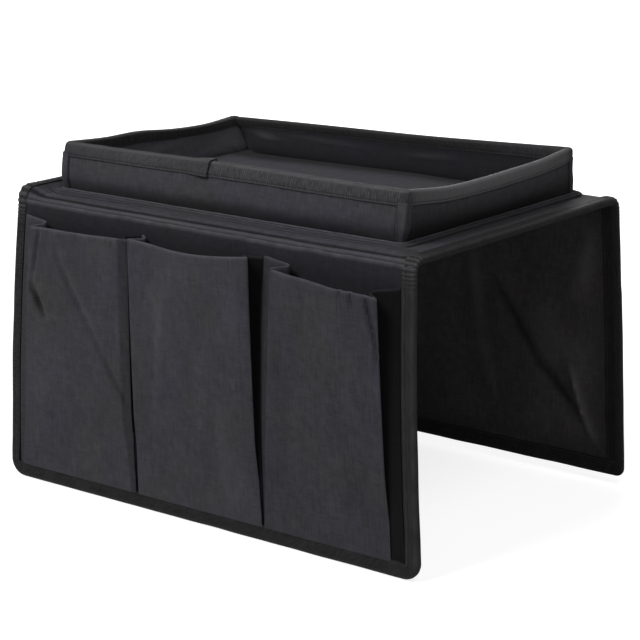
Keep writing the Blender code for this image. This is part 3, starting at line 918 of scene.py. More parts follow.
def tape_section(outer, leg=TAPE_WIDTH):
    """The folded tape as (inset, out, tone): outer leg with its stitched groove, bead lightened by rubbing
    and a painted highlight, and a darker inner leg.
    """
    radius = (outer - TAPE_INNER) / 2
    middle = (outer + TAPE_INNER) / 2
    reach = radius * BEAD_FLATNESS - TAPE_OVERHANG
    section = []
    for share in LEG_SHARES:
        groove = 0.00038 * hump(share, SEAM_SHARE, 0.045) + 0.00030 * hump(share, 0.56, 0.09)
        swell = 0.00025 * sin(pi * min(share / 0.9, 1.0))
        section.append((mix(leg, reach, share), outer + swell - groove, 0.0))
    for step in range(9):
        angle = pi / 2 - pi * step / 8
        inset = reach - radius * BEAD_FLATNESS * cos(angle)
        section.append((inset, middle + radius * sin(angle), BEAD_WEAR_AND_HIGHLIGHT * hump(step, 2, 1.6)))
    for share in INNER_SHARES:
        groove = 0.0003 * hump(share, 1 - SEAM_SHARE, 0.05)
        section.append((mix(reach, INNER_LEG, share), TAPE_INNER + groove, -0.6 if share < 1.0 else -0.3))
    return section


def gathers(distance, s):
    """Small puckers across the tape, strongest round the fold."""
    height = GATHER_HEIGHT + FOLD_GATHER_HEIGHT * hump(s, 0.005, 0.010)
    return height * sin(2 * pi * distance / GATHER_PITCH + 2 * ripple(distance * 60, s, 0.0))


def edge_tape(side):
    """The tape bound round half the drape, and its two rows of stitches."""
    edge = Edge(side)
    name = SIDE_NAMES[side]
    plain_section = tape_section(0.0024)

    def point(distance, k):
        s = edge.s_at(distance)
        inset, out = tape_section(tape_rise(side, s), edge.leg_at(distance))[k][:2]
        if out > 0:
            out += gathers(distance, s)
        return edge.at(distance, inset + TAPE_DRIFT * ripple(distance * 35, side * 3.0, 1.0), out)

    def wear_and_painted_light(distance, k):
        out, worn_and_painted_light = plain_section[k][1:]
        s = edge.s_at(distance)
        # Painted highlight on raised puckers and painted shade between them, a painted highlight round the
        # fold, and an uneven, darker outer leg over the platform
        pucker = 900.0 * gathers(distance, s) + 0.20 * hump(s, 0.004, 0.008) if out > 0 else 0.0
        if s < -0.004 and out > 0 and not worn_and_painted_light:
            pucker -= 0.25 + 0.5 * ripple(distance * 16, k * 0.9, 21.0)
        if s < 0:
            worn_and_painted_light *= 0.6
        return worn_and_painted_light * (0.6 + 0.5 * ripple(distance * 90, 4.0, side)) + pucker

    def outer_seam(distance, lift):
        level = tape_rise(side, edge.s_at(distance)) - TOUCH + TAPE / 2
        inset = mix(edge.leg_at(distance), SEAM_TOP, SEAM_SHARE)
        return edge.at(min(distance, edge.length), inset, level + lift)

    def inner_seam(distance, lift):
        level = TAPE_INNER - TAPE / 2 + TOUCH
        return edge.at(min(distance, edge.length), mix(INNER_LEG, SEAM_TOP, SEAM_SHARE), level - lift)

    item = cloth(name + "_edge_tape", edge.lengths, range(len(plain_section)), point, TAPE, TAPE_FINISH, wear_and_painted_light)
    runs = stitches(outer_seam, edge.length) + stitches(inner_seam, edge.length)
    sewn = thread(name + "_edge_stitches", runs)
    ends = ["platform_left_binding", "platform_right_binding"] if side < 0 else []
    ends += [name + part for part in ("_flap_binding", "_fold_left_binding", "_fold_right_binding")]
    for piece, nodes in ((item, ends), (sewn, ())):
        bend_with(piece)
        dress(piece, nodes)


# Flat pockets

def flat_bulge(side, x, down, mouth, height, bays):
    """How far a flat pocket stands off, widest at its mouth and least at its foot and seams."""
    half = half_width(side, s_of(side, down)) - TAPE_WIDTH - GAP
    if abs(x) >= half:
        return 0.0
    bay = 2 * half / bays
    from_seam = min(abs(x + half - bay * seam) for seam in range(bays + 1))
    share = min(max((POCKET_FOOT - down) / (POCKET_FOOT - mouth), 0.0), 1.0)
    return height * share ** BULGE_EASE * smooth_step(from_seam / BULGE_RUN)


def magazine_out(x, down):
    """The middle of the full-width pocket's cloth."""
    below = down - MAGAZINE_MOUTH
    bulge = flat_bulge(-1, x, down, MAGAZINE_MOUTH, MAGAZINE_BULGE, 1) * ramp(below, 0.010, 0.025)
    inside = smooth_step((HALF_LENGTH - TAPE_WIDTH - abs(x)) / 0.012)
    lip = MAGAZINE_LIP * hump(below, 0.0, 0.0045) * (0.8 + 0.5 * ripple(x * 14, 4.0, 2.0))
    waves = 0.0004 * (ripple(x * 24, down * 20, 9.0) + 0.6) * ramp(below, 0.001, 0.008)
    return MAGAZINE_OUT + bulge + (lip + waves) * inside


def rear_pocket_out(x, down):
    bulge = flat_bulge(1, x, down, REAR_MOUTH, REAR_BULGE, 2)
    waves = 0.0005 * (ripple(x * 20, down * 20, 14.0) + 0.5)
    return MAGAZINE_OUT + bulge + waves * smooth_step(bulge / 0.002) * smooth_step(abs(x) / 0.004)


def magazine_dip(share):
    return 0.0005 * ripple(share * 4, 20.0, 0.0) + 0.0003 * ripple(share * 19, 8.0, 0.0) + 0.0006


def rear_dip(share):
    return 0.0030 * sin(pi * abs(share)) + 0.0004 * ripple(share * 8, 31.0, 0.0)


def hem_rows(depth, step):
    """Rows up a cloth to its mouth, over its rolled edge and down its hem, as (below, inward)."""
    rows = [(below, 0.0) for below in joined(spread(depth, 0.012, step), spread(0.012, 0.0, 0.0015))]
    for k in range(1, 7):
        angle = pi * k / 6
        rows.append((-HEM_ROLL * sin(angle), HEM_ROLL * (1 - cos(angle))))
    return rows + [(below, 2 * HEM_ROLL) for below in spread(0.0, HEM_DEPTH, 0.002)[1:]]


def hem_wear_and_highlight(row):
    """Rubbing and a painted highlight along a mouth, and none on the turned hem."""
    below, inward = row
    return HEM_WEAR_AND_HIGHLIGHT * hump(max(below, 0.0), 0.0, 0.0008) if inward <= 1.9 * HEM_ROLL else 0.0


def flat_pocket(name, side, mouth, dip, level, finish, painted_shade):
    """A flat pocket's panel, sewn at its ends and foot, with a turned hem at its mouth."""
    hem_foot = FLAP_DROP - TAPE_WIDTH / 4

    def point(share, row):
        below, inward = row
        lip = mouth + dip(share)
        down = lip + min(below, hem_foot - lip)
        s = s_of(side, down)
        x = share * half_limit(side, s, POCKET_INSET)
        return drape(side, x, s, level(x, max(down, mouth)) - inward)

    def wear_and_painted_light(share, row):
        # Rubbing and a painted highlight along the mouth, and painted shade further down
        rubbed_and_painted_light = 1.5 * hem_wear_and_highlight(row) * (0.75 + 0.45 * ripple(share * 22, 3.0, side))
        return rubbed_and_painted_light - painted_shade * ramp(row[0], 0.004, 0.011)

    rows = hem_rows(hem_foot - mouth, 0.004)
    item = cloth(name + "_cloth", drape_columns(0.0030), rows, point, FABRIC, finish, wear_and_painted_light)
    bend_with(item)
    dress(item, [name])


# Pleated pockets

def polyline(a, b, start, end):
    """Places between two corners, from one share of the way to another."""
    return [(mix(a[0], b[0], share), mix(a[1], b[1], share)) for share in np.linspace(start, end, 5)]


def bend(before, corner, after, cut_before, cut_after):
    """A rounded corner that starts and ends that far from the corner itself."""
    ends = []
    for other, cut in ((before, cut_before), (after, cut_after)):
        dx, dy = other[0] - corner[0], other[1] - corner[1]
        length = max(hypot(dx, dy), 1e-6)
        cut = min(cut, 0.9 * length)
        ends.append((corner[0] + dx / length * cut, corner[1] + dy / length * cut))
    places = []
    for k in range(7):
        t = k / 6
        a, b, c = (1 - t) ** 2, 2 * t * (1 - t), t * t
        places.append(tuple(a * ends[0][i] + b * corner[i] + c * ends[1][i] for i in range(2)))
    return places


def panel_relief(label, share, down):
    """The height of a panel's creases and soft unevenness."""
    height_share = (down - PLEATED_MOUTH) / (POCKET_FOOT - PLEATED_MOUTH)
    inner = smooth_step(min(share, 1 - share) / 0.08)
    seed = 40.0 + 7 * POCKET_LABELS.index(label)
    soft = 0.0006 * ripple(share * 3.2, height_share * 2.5, seed)
    soft += 0.00025 * ripple(share * 9, height_share * 7, seed)
    creases = crease_sum(POCKET_CREASES[label], share, height_share)
    return (soft * inner + creases) * smooth_step((1 - height_share) / 0.12)


def cloth_out(x, down):
    """The outer face of the flat pocket behind the pleated ones, bowed as the flap is."""
    return magazine_out(x, down) + FABRIC / 2 + flap_bow(-1, down)


class PleatedPocket:
    """The cloth of one pleated pocket: seam, inner fold, outer fold, panel, and back to the other seam."""

    def __init__(self, label):
        self.label = label
        self.bay = POCKET_LABELS.index(label)

    def half(self, down):
        return half_width(-1, s_of(-1, down)) - TAPE_WIDTH - GAP

    def share_up(self, down):
        return min(max((POCKET_FOOT - down) / (POCKET_FOOT - PLEATED_MOUTH), 0.0), 1.1)

    def from_foot(self, down):
        """0 at the foot, where the pocket lies flat, and 1 from a third of the way up."""
        return smooth_step(self.share_up(down) * 3)

    def seam_x(self, end, down):
        half = self.half(down)
        seam = -half + 2 * half * (self.bay + end) / len(POCKET_LABELS)
        return seam + (SEAM_EDGE if end == 0 else -SEAM_EDGE)

    def edge_x(self, end, down):
        bay = 2 * self.half(down) / len(POCKET_LABELS)
        foot, mouth = FOOT_INSET_SHARES[self.label][end], MOUTH_INSET_SHARES[self.label][end]
        inset = bay * mix(foot, mouth, self.share_up(down))
        return self.seam_x(end, down) + (inset if end == 0 else -inset)

    def solid_base(self, x, down):
        bulge = flat_bulge(-1, x, down, SOLID_MOUTH, SOLID_BULGE, 1)
        return MAGAZINE_OUT + FABRIC / 2 + self.from_foot(down) * bulge

    def edge_out(self, end, down):
        depth = PLEAT_DEPTH * CORNER_DEPTH_SHARES[self.label][end] * self.share_up(down) ** PLEAT_EASE
        edge = self.edge_x(end, down)
        inwards = PLEAT_RETURN if end == 0 else -PLEAT_RETURN
        base = max(self.solid_base(edge, down), self.solid_base(edge + inwards, down))
        return max(base + GAP + FABRIC / 2 + depth, cloth_out(edge, down) + 2.6 * FABRIC)

    def corners(self, end, down):
        """Seam, inner fold and outer fold at one end, as (x, out)."""
        seam_x, edge_x = self.seam_x(end, down), self.edge_x(end, down)
        tip_x = edge_x + (PLEAT_RETURN if end == 0 else -PLEAT_RETURN)
        if self.bay + end == 0:
            seam_x -= TAPE_WIDTH - SIDE_LEG
        if self.bay + end == len(POCKET_LABELS):
            seam_x += TAPE_WIDTH - SIDE_LEG
        seam = cloth_out(seam_x, down) + FABRIC * 0.6
        edge = self.edge_out(end, down)
        tip = mix(cloth_out(tip_x, down) + FABRIC * 0.8, edge, 0.45)
        return ((seam_x, seam), (tip_x, min(tip, edge - 1.1 * FABRIC)), (edge_x, edge))

    def panel(self, left, right, down, roundings):
        """The panel between its outer folds, with its belly and creases."""
        width = right[0] - left[0]
        first, last = ((rounding + 0.001) / width for rounding in roundings)
        places = []
        for share in np.linspace(first, 1 - last, PANEL_PLACES):
            belly = PANEL_BELLY * (1 - (2 * share - 1) ** 2) * self.share_up(down)
            out = mix(left[1], right[1], share) + belly + panel_relief(self.label, share, down)
            places.append((mix(left[0], right[0], share), out))
        return places

    @lru_cache(maxsize=None)
    def section(self, down):
        """Places and inward directions across the cloth at one height."""
        left, right = self.corners(0, down), self.corners(1, down)
        flatness = self.from_foot(down)
        roundings = tuple(mix(FOOT_ROUNDING, wide, flatness) for wide in FOLD_ROUNDINGS[self.label])
        inner = tuple(min(rounding, INNER_ROUNDING) for rounding in roundings)
        panel = self.panel(left[2], right[2], down, roundings)
        line = polyline(left[0], left[1], 0.0, 0.8)
        line += bend(left[0], left[1], left[2], TIP_ROUNDING, TIP_ROUNDING)
        line += polyline(left[1], left[2], 0.3, 0.7)
        line += bend(left[1], left[2], panel[0], inner[0], roundings[0]) + panel
        line += bend(panel[-1], right[2], right[1], roundings[1], inner[1])
        line += polyline(right[2], right[1], 0.3, 0.7)
        line += bend(right[2], right[1], right[0], TIP_ROUNDING, TIP_ROUNDING)
        line += polyline(right[1], right[0], 0.2, 1.0)
        places = np.array(line)
        run = np.gradient(places, axis=0)
        run /= np.maximum(np.linalg.norm(run, axis=1, keepdims=True), 1e-9)
        return places, np.stack([run[:, 1], -run[:, 0]], axis=1)

    def count(self):
        return len(self.section(PLEATED_MOUTH)[0])

    def mouth(self, k):
        """Where the mouth lies at this place across the cloth."""
        last = self.count() - 1
        panel = MOUTHS[self.label]
        if FOLD_AT <= k <= last - FOLD_AT:
            return through(panel, (k - FOLD_AT) / (last - 2 * FOLD_AT))
        seam, tip = MOUTH_ENDS[self.label][0 if k < FOLD_AT else 1]
        corner = panel[0] if k < FOLD_AT else panel[-1]
        return float(np.interp(min(k, last - k), (0, TIP_AT, FOLD_AT), (seam, tip, corner)))

    def point(self, k, row):
        below, inward = row
        mouth = self.mouth(k)
        if below > 0:
            below *= (PLEATED_FOOT - mouth) / (PLEATED_FOOT - PLEATED_MOUTH)
        down = mouth + below
        level, share = divmod(max(down, mouth) / SECTION_STEP, 1)
        above, under = self.section(level * SECTION_STEP), self.section((level + 1) * SECTION_STEP)
        place = above[0][k] + above[1][k] * inward
        x, out = place + (under[0][k] + under[1][k] * inward - place) * share
        return flap_place(-1, x, down, out)

    def wear_and_painted_light(self, k, row):
        """Rubbing and a painted highlight at the mouth and painted highlights on ridges; painted shade in the
        pleats, creases and the panel's strip at the right; and the right panel darker all over.
        """
        below, inward = row
        rubbed_and_painted_light = hem_wear_and_highlight(row) * (0.8 + 0.3 * ripple(k * 0.08, 6.0, self.bay))
        from_seam = min(k, self.count() - 1 - k)
        pleat = PLEAT_PAINTED_SHADES[0 if k < FOLD_AT else 1] * smooth_step((FOLD_AT - 1 - from_seam) / 6)
        share = (k - FOLD_AT) / (self.count() - 1 - 2 * FOLD_AT)
        darkened = PANEL_DARKENINGS[self.label] + STRIP_PAINTED_SHADES[self.label] * ramp(share, STRIP_START, 0.02)
        creased = 0.0
        if inward == 0.0:
            creased = CREASE_PAINTED_LIGHT * panel_relief(self.label, min(max(share, 0.0), 1.0), self.mouth(k) + below)
        return rubbed_and_painted_light * (1 - darkened) - pleat - darkened + creased


def pleated_pocket(label):
    pocket = PleatedPocket(label)
    name = label + "_pocket"
    rows = hem_rows(PLEATED_FOOT - PLEATED_MOUTH, 0.0022)
    item = cloth(name + "_cloth", range(pocket.count()), rows, pocket.point, FABRIC, COVER, pocket.wear_and_painted_light)
    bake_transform(item)
    dress(item, [name + "_panel", name + "_left_pleat", name + "_right_pleat"])


# Tray. A way counts its sides from the front left corner, and each side starts with its corner's arc

def half_side(side):
    return TRAY_HALF_X if side % 2 == 0 else TRAY_HALF_Y


def tray_corner_places(up):
    """The tray's four corners at a height share, as (x, y, sag)."""
    places = []
    for name, (x_sign, y_sign) in zip(TRAY_SIDES, TRAY_CORNER_SIGNS):
        shift_x, shift_y, sag = RIM_CORNERS[name]
        x = TRAY_CENTRE.x + x_sign * TRAY_HALF_X + shift_x * up
        y = TRAY_CENTRE.y + y_sign * TRAY_HALF_Y + shift_y * up
        places.append((x, y, sag))
    return places


def side_normals(corners):
    normals = []
    for k in range(4):
        a, b = corners[k], corners[(k + 1) % 4]
        length = hypot(b[0] - a[0], b[1] - a[1])
        normals.append(((b[1] - a[1]) / length, -(b[0] - a[0]) / length))
    return normals


def tray_place(way, up, outset, lift=0.0, tucked=1.0):
    """A place round the tray at a height share, that far out from its walls' outer face."""
    side = int(way // 1) % 4
    share = way - way // 1
    corners = tray_corner_places(up)
    normals = side_normals(corners)
    height = min(max(up, 0.0), 1.0)
    halfway = sin(pi * height ** 0.85)
    stand = TRAY_CORNER + outset - FOOT_TUCK * (1 - smooth_step(height / FOOT_TUCK_SHARE)) * tucked
    name = TRAY_SIDES[side]

    def centre(k):
        before, after = normals[k - 1], normals[k]
        return (corners[k][0] - (before[0] + after[0]) * TRAY_CORNER,
                corners[k][1] - (before[1] + after[1]) * TRAY_CORNER)

    start, end = centre(side), centre((side + 1) % 4)
    if share < ARC_SHARE:
        angle = pi / 2 * share / ARC_SHARE
        before, after = normals[side - 1], normals[side]
        nx, ny = (before[i] * cos(angle) + after[i] * sin(angle) for i in range(2))
        stand += WALL_SWELLS[name][0] * halfway
        x, y, sag = start[0], start[1], corners[side][2]
    else:
        t = (share - ARC_SHARE) / (1 - ARC_SHARE)
        nx, ny = normals[side]
        stand += through(RIM_BOWS[name], t) * up + through(WALL_SWELLS[name], t) * halfway
        x, y = mix(start[0], end[0], t), mix(start[1], end[1], t)
        sag = mix(corners[side][2], corners[(side + 1) % 4][2], t) + through(RIM_SAGS[name], t)
    z = TRAY_FOOT + TRAY_HEIGHT * up - sag * max(up, 0.0) ** 1.3 + lift
    return Vector((x + nx * stand, y + ny * stand, z))


def tray_ways(start, end, step=0.0045):
    """Ways between two places, close together round the corners."""
    ways = {start, end}
    for side in range(int(start) - 1, int(end) + 2):
        ways |= {side + ARC_SHARE * k / 8 for k in range(9)}
        ways |= {side + value for value in spread(ARC_SHARE, 1.0, step / (2 * half_side(side)))}
    return sorted(way for way in ways if start <= way <= end)


def wall_panel(side, name, ways, ups):
    darkened, reach = WALL_PAINTED_SHADES[name]

    def point(way, up):
        return tray_place(way, up, 0.0003 * ripple(way * 13, up * 3.0, 50.0) - FABRIC / 2)

    def wear_and_painted_light(way, up):
        # Painted shade towards the wall's foot
        return -darkened * smooth_step((reach - up) / reach)

    item = cloth("tray_" + name + "_wall", ways, ups, point, FABRIC, COVER, wear_and_painted_light)
    dress(item, ["tray_" + name + "_panel"], "root")


def wall_board(side, name):
    def point(way, up):
        return tray_place(way, up, -(FABRIC + 2 * GAP + BOARD / 2))

    ways = tray_ways(side + ARC_SHARE, side + 1.0, 0.012)
    item = cloth("tray_" + name + "_stiffener", ways, spread(0.02, 0.93, 0.13), point, BOARD, BOARD_FINISH)
    dress(item, ["tray_" + name + "_board"], "root")


def wall_lining(side, name, ways, ups):
    """A wall's lining, which wrinkles and billows inwards at its foot."""
    creases = TRAY_CREASES[name]
    start, end = ways[0], ways[-1]

    def point(way, up):
        share = (way - start) / (end - start)
        wrinkle = 0.0004 + 0.0010 * max(ripple(way * 9, up * 2.2, 60.0 + side), 0.0)
        wrinkle += crease_sum(creases, way - side, up)
        wrinkle *= sin(pi * min((up / 0.8) ** 0.62, 1.0))
        ends = smooth_step(min(share, 1 - share) / 0.10)
        billow = mix(*BILLOWS[name], share) * ends * smooth_step((0.85 - up) / 0.75)
        return tray_place(way, max(up, 0.04), FABRIC / 2 - TRAY_STACK - wrinkle - billow)

    def wear_and_painted_light(way, up):
        # Painted light and shade on the wrinkles, painted shade towards the foot, and painted light on the
        # left wall
        painted_light = INSIDE_CREASE_PAINTED_LIGHT * crease_sum(creases, way - side, up) - 0.55 * smooth_step((0.5 - up) / 0.5)
        return painted_light + (0.35 if name == "left" else 0.0)

    # The rear wall's lining is darkened with painted shade
    finish = SHADED_REAR_INSIDE if name == "rear" else COVER
    item = cloth("tray_" + name + "_inside", ways, ups, point, FABRIC, finish, wear_and_painted_light)
    dress(item, ["tray_" + name + "_lining"], "root")


def tray_wall(side, name):
    """One wall from corner seam to corner seam."""
    ways = tray_ways(side + ARC_SHARE / 2, side + 1 + ARC_SHARE / 2)
    ups = spread(0.0, 0.955, 0.06)
    wall_panel(side, name, ways, ups)
    wall_board(side, name)
    wall_lining(side, name, ways, ups)


def tray_corner(k, name):
    """The tape over an upright corner seam, with a soft ridge and two rows of stitches."""
    middle = k + ARC_SHARE / 2
    leg_after = CORNER_LEG / (2 * half_side(k))
    leg_before = CORNER_LEG / (2 * half_side(k + 1))
    start, arc_end, end = k - leg_before, k + ARC_SHARE, k + ARC_SHARE + leg_after
    ways = joined(spread(start, k, leg_before / 7), spread(k, arc_end, ARC_SHARE / 12),
                  spread(arc_end, end, leg_after / 7))
    lines = (mix(start, k, CORNER_SEAM_SHARE), mix(end, arc_end, CORNER_SEAM_SHARE))

    def sewn_down(way, width):
        return sum(hump(way, line, width) for line in lines)

    def stand(way):
        return CORNER_RIDGE * hump(way, middle, 0.008) + 0.00045 - 0.0005 * sewn_down(way, 0.0022)

    def point(way, up):
        pucker = 0.00012 * sin(up * 60) * hump(up, 0.78, 0.1)
        return tray_place(way, up, TAPE / 2 + stand(way) + pucker)

    def wear_and_painted_light(way, up):
        # Painted highlight on the ridge, dark stitched seams, and painted shade towards the foot
        seams = 0.75 * sewn_down(way, 0.0026) * (0.7 + 0.3 * sin(up * 75))
        return 0.30 * hump(way, middle, 0.006) - seams - 0.35 * smooth_step((0.4 - up) / 0.4)

    runs = []
    for line in lines:
        def seam(distance, lift, way=line):
            return tray_place(way, 0.08 + distance / TRAY_HEIGHT, TAPE + stand(way) + lift)

        runs += stitches(seam, 0.70 * TRAY_HEIGHT)
    item = cloth(name + "_tape", ways, spread(-0.02, 0.80, 0.03), point, TAPE, COVER, wear_and_painted_light)
    dress(item, [name + "_binding"], "root")
    dress(thread(name + "_stitches", runs), body="root")


def rim_section():
    """The rim tape as (outset, up, tone), from the outer leg's foot over the top to the inner leg's foot, its
    top lightened by rubbing and a painted highlight.
    """
    outer, inner = TAPE / 2 + GAP, -(TRAY_STACK + TAPE / 2 + GAP)
    middle, radius = (outer + inner) / 2, (outer - inner) / 2
    top = 1.0 - radius / TRAY_HEIGHT * 0.7
    foot = 1.0 - RIM_WIDTH / TRAY_HEIGHT
    section = []
    for share in (0.0, 0.08, 0.16, 0.22, 0.30, 0.42, 0.60, 0.80):
        swell = 0.0003 * sin(pi * share) - 0.00035 * hump(share, 0.16, 0.06)
        section.append((outer + swell, mix(foot, top, share), 0.0))
    for step in range(11):
        angle = pi * step / 10
        up = top + radius * 0.8 * sin(angle) / TRAY_HEIGHT
        section.append((middle + radius * cos(angle), up, RIM_WEAR_AND_HIGHLIGHT * hump(step, 2.6, 1.1)))
    for share in (0.25, 0.5, 0.75, 0.85, 1.0):
        section.append((inner + 0.0003 * hump(share, 0.85, 0.06), mix(top, foot, share), 0.0))
    return section


def rim_drift(way):
    """How far the foot of the rim tape's outer leg strays up or down."""
    return 0.010 * ripple(way * 7, 71.0, 0.0)


def rim_tape():
    """The tape bound round the tray's rim, its end laid over its start on the front wall."""
    section = rim_section()
    start = ARC_SHARE + RIM_JOIN_SHARE * (1 - ARC_SHARE)
    overlap = RIM_OVERLAP / (2 * TRAY_HALF_X)
    ways = tray_ways(start, start + 4 + overlap, 0.0024)

    def rise(way):
        """The end lies on the start, a little further out."""
        return RIM_STEP * ramp(way, start + 4 - overlap, 1.5 * overlap)

    def point(way, k):
        outset, up = section[k][:2]
        away = 1.0 if outset > -TRAY_STACK / 2 else -1.0
        gather = 0.00007 * sin(way * 640) + 0.00018 * ripple(way * 30, k * 0.1, 70.0)
        return tray_place(way, up + (rim_drift(way) if k < 4 else 0.0), outset + away * (gather + rise(way)),
                          lift=0.6 * rise(way) if 7 < k < 19 else 0.0)

    def wear_and_painted_light(way, k):
        # Painted light on the right side's outer leg and the bead's outer half; the rest of the bead and the
        # inner leg a little darker
        on_right = ramp(way % 4, 1.02, 0.06) * smooth_step((2.0 - way % 4) / 0.05)
        rubbed_and_painted_light = section[k][2] * (0.75 + 0.4 * ripple(way * 22, 73.0, 0.0))
        return rubbed_and_painted_light + (0.90 * on_right if k < 14 else -0.2)

    tops = [tray_place(way, 1, 0) for way in ways]
    lengths = np.cumsum([0.0] + [(b - a).length for a, b in zip(tops, tops[1:])])
    runs = []
    for outward, k in ((1.0, 2), (-1.0, len(section) - 2)):
        def seam(distance, lift, outward=outward, row=section[k]):
            way = float(np.interp(distance, lengths, ways))
            drift = rim_drift(way) if outward > 0 else 0.0
            return tray_place(way, row[1] + drift, row[0] + outward * (TAPE / 2 + lift + rise(way)))

        runs += stitches(seam, float(lengths[-1]))
    item = cloth("tray_rim_tape", ways, range(len(section)), point, TAPE, RIM_FINISH, wear_and_painted_light)
    dress(item, ["tray_rim_binding"], "root")
    dress(thread("tray_rim_stitches", runs), body="root")


def foot_piping():
    """The piped seam round the tray's foot: two small beads side by side on the platform."""
    def point(way, k):
        outset, height = PIPING[k][:2]
        place = tray_place(way, 0.0, outset + 0.0004 * ripple(way * 9, 80.0, 0.0), tucked=0.0)
        place.z = TOP + height + 0.00012 * ripple(way * 60, 81.0, k * 0.1)
        return place

    def wear_and_painted_light(way, k):
        # Painted shade in the grooves and painted highlight on the crests, uneven along the seam
        return PIPING[k][2] * (0.8 + 0.9 * ripple(way * 45, 82.0, k * 0.1))

    ways = tray_ways(0.0, 4.0, 0.003)
    item = cloth("tray_foot_piping", ways, range(len(PIPING)), point, PIPING_CLOTH, COVER, wear_and_painted_light)
    dress(item, ["tray_base_flange"], "root")


def tray_floor():
    """The cloth floor inside the tray, a little uneven, a little lighter all over, and darker along its ends
    and rear with a painted shadow.
    """
    low, high = TRAY_LOW, TRAY_HIGH

    def point(u, v):
        edge = smooth_step(min(u, 1 - u) / 0.05) * smooth_step(min(v, 1 - v) / 0.07)
        rise = 0.0008 + 0.0010 * edge * (0.5 + ripple(u * 5, v * 4, 90.0))
        return Vector((mix(low.x, high.x, u), mix(low.y, high.y, v), TRAY_FOOT + FABRIC / 2 + rise))

    def wear_and_painted_light(u, v):
        # Painted shadow along the ends and the rear wall
        from_ends = min(u, 1 - u) * (high.x - low.x)
        from_rear = (1 - v) * (high.y - low.y) - mix(0.024, 0.008, u)
        return 0.10 - 0.88 * hump(max(min(from_ends, from_rear), 0.0), 0.0, 0.011)

    item = cloth("tray_floor_cloth", spread(0, 1, 0.02), spread(0, 1, 0.03), point, FABRIC, COVER, wear_and_painted_light)
    dress(item, ["tray_floor"], "root")


# The whole object

def dress_boards():
    """The platform's own board stays, in its better finish."""
    for name, node in frame["nodes"].items():
        if name.endswith("_board"):
            node.data.materials.clear()
            node.data.materials.append(BOARD_FINISH)


def build():
    dress_boards()
    for side in (-1, 1):
        drape_cover(side)
        drape_lining(side)
        flap_board(side)
        edge_tape(side)
    flat_pocket("magazine_pocket", -1, MAGAZINE_MOUTH, magazine_dip, magazine_out, SHADED_MAGAZINE_CLOTH,
                MAGAZINE_PAINTED_SHADE)
    flat_pocket("rear_pocket", 1, REAR_MOUTH, rear_dip, rear_pocket_out, COVER, 0.0)
    for label in POCKET_LABELS:
        pleated_pocket(label)
    for side, name in enumerate(TRAY_SIDES):
        tray_wall(side, name)
    for k, name in enumerate(TRAY_CORNER_NAMES):
        tray_corner(k, "tray_" + name + "_corner")
    rim_tape()
    foot_piping()
    tray_floor()


def declare_sheets():
    """Lists which pieces are cloth, how each is held, what it rests on, and what is sewn to it; nothing reads
    the list.
    """
    sheets = [
        ("front_cover", "draped", ["platform_board", "front_board"],
         ["front_edge_tape", "front_edge_stitches"]),
        ("rear_cover", "draped", ["platform_board", "rear_board"],
         ["rear_edge_tape", "rear_edge_stitches"]),
        ("front_lining", "draped", ["platform_board", "front_board"], []),
        ("rear_lining", "draped", ["platform_board", "rear_board"], []),
        ("magazine_pocket_cloth", "hung", ["front_cover"], []),
        ("rear_pocket_cloth", "hung", ["rear_cover"], []),
        ("tray_floor_cloth", "laid", ["front_cover", "rear_cover"], ["tray_foot_piping"]),
    ]
    sheets += [(label + "_pocket_cloth", "folded", ["magazine_pocket_cloth"], []) for label in POCKET_LABELS]
    for name, corner in zip(TRAY_SIDES, TRAY_CORNER_NAMES):
        sewn = ["tray_" + corner + "_corner_tape", "tray_" + corner + "_corner_stitches"]
        sewn += ["tray_rim_tape", "tray_rim_stitches"] if name == "front" else []
        stiffener = "tray_" + name + "_stiffener"
        sheets.append(("tray_" + name + "_wall", "stretched", [stiffener], sewn))
        sheets.append(("tray_" + name + "_inside", "hung", [stiffener], []))


# Stage, light and camera

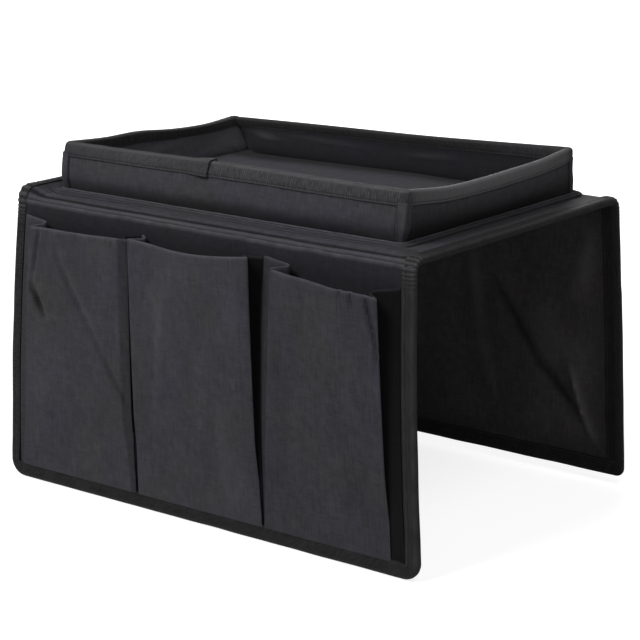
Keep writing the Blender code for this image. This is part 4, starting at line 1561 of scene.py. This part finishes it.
def make_camera():
    data = bpy.data.cameras.new("camera")
    data.sensor_width = CAMERA_SENSOR
    data.lens = CAMERA_LENS
    camera = link("camera", data)
    level = cos(CAMERA_PITCH)
    forward = Vector((-sin(CAMERA_YAW) * level, cos(CAMERA_YAW) * level, -sin(CAMERA_PITCH)))
    right = Vector((cos(CAMERA_YAW), sin(CAMERA_YAW), 0))
    upward = right.cross(forward)
    x_axis = right * cos(CAMERA_ROLL) + upward * sin(CAMERA_ROLL)
    y_axis = upward * cos(CAMERA_ROLL) - right * sin(CAMERA_ROLL)
    turn = Matrix((x_axis, y_axis, -forward)).transposed().to_4x4()
    camera.matrix_world = Matrix.Translation(CAMERA_PLACE) @ turn
    bpy.context.scene.camera = camera


def make_lamp(name, place, size, power):
    data = bpy.data.lights.new(name, "AREA")
    data.shape = "DISK"
    data.size = size
    data.energy = power
    lamp = link(name, data)
    lamp.location = place
    lamp.rotation_euler = (LAMP_TARGET - Vector(place)).to_track_quat("-Z", "Y").to_euler()


def make_world():
    """White to camera and transmission rays, and a little light on the object."""
    world = bpy.data.worlds.new("world")
    bpy.context.scene.world = world
    world.use_nodes = True
    wiring = Wiring(world.node_tree)
    paths = wiring.node("LightPath").outputs
    seen = wiring.math("MAXIMUM", paths["Is Camera Ray"], paths["Is Transmission Ray"])
    background = wiring.nodes["Background"]
    background.inputs["Color"].default_value = (1, 1, 1, 1)
    wiring.plug(background.inputs["Strength"], wiring.carried(seen, (0.0, 1.0), (WORLD_LIGHT, 1.0)))


def floor_material():
    """Pale, and glowing to the camera alone."""
    shading = Shading("pale_floor", 0.9, specular=0.0)
    shading.shader.inputs["Base Color"].default_value = (FLOOR_GREY, FLOOR_GREY, FLOOR_GREY, 1)
    shading.shader.inputs["Emission Color"].default_value = (1, 1, 1, 1)
    away = shading.node("VectorMath", {0: shading.position()}, operation="LENGTH").outputs["Value"]
    glow = shading.carried(away, FLOOR_RANGE, FLOOR_GLOWS)
    seen = shading.node("LightPath").outputs["Is Camera Ray"]
    shading.plug(shading.shader.inputs["Emission Strength"], shading.math("MULTIPLY", seen, glow))
    return shading.material


def make_floor():
    """The floor, just under the lowest of the solids and the visible pieces."""
    level = min(CAD_BOX[0][2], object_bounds()[0][2]) - FLOOR_GAP
    corners = [(x * FLOOR_HALF, y * FLOOR_HALF, level) for x, y in ((-1, -1), (1, -1), (1, 1), (-1, 1))]
    mesh = bpy.data.meshes.new("floor")
    mesh.from_pydata(corners, [], [(0, 1, 2, 3)])
    mesh.materials.append(floor_material())
    link("floor", mesh)


build()
declare_sheets()
make_camera()
for lamp in LAMPS:
    make_lamp(*lamp)
make_world()
make_floor()
bpy.context.scene.view_settings.view_transform = "Standard"
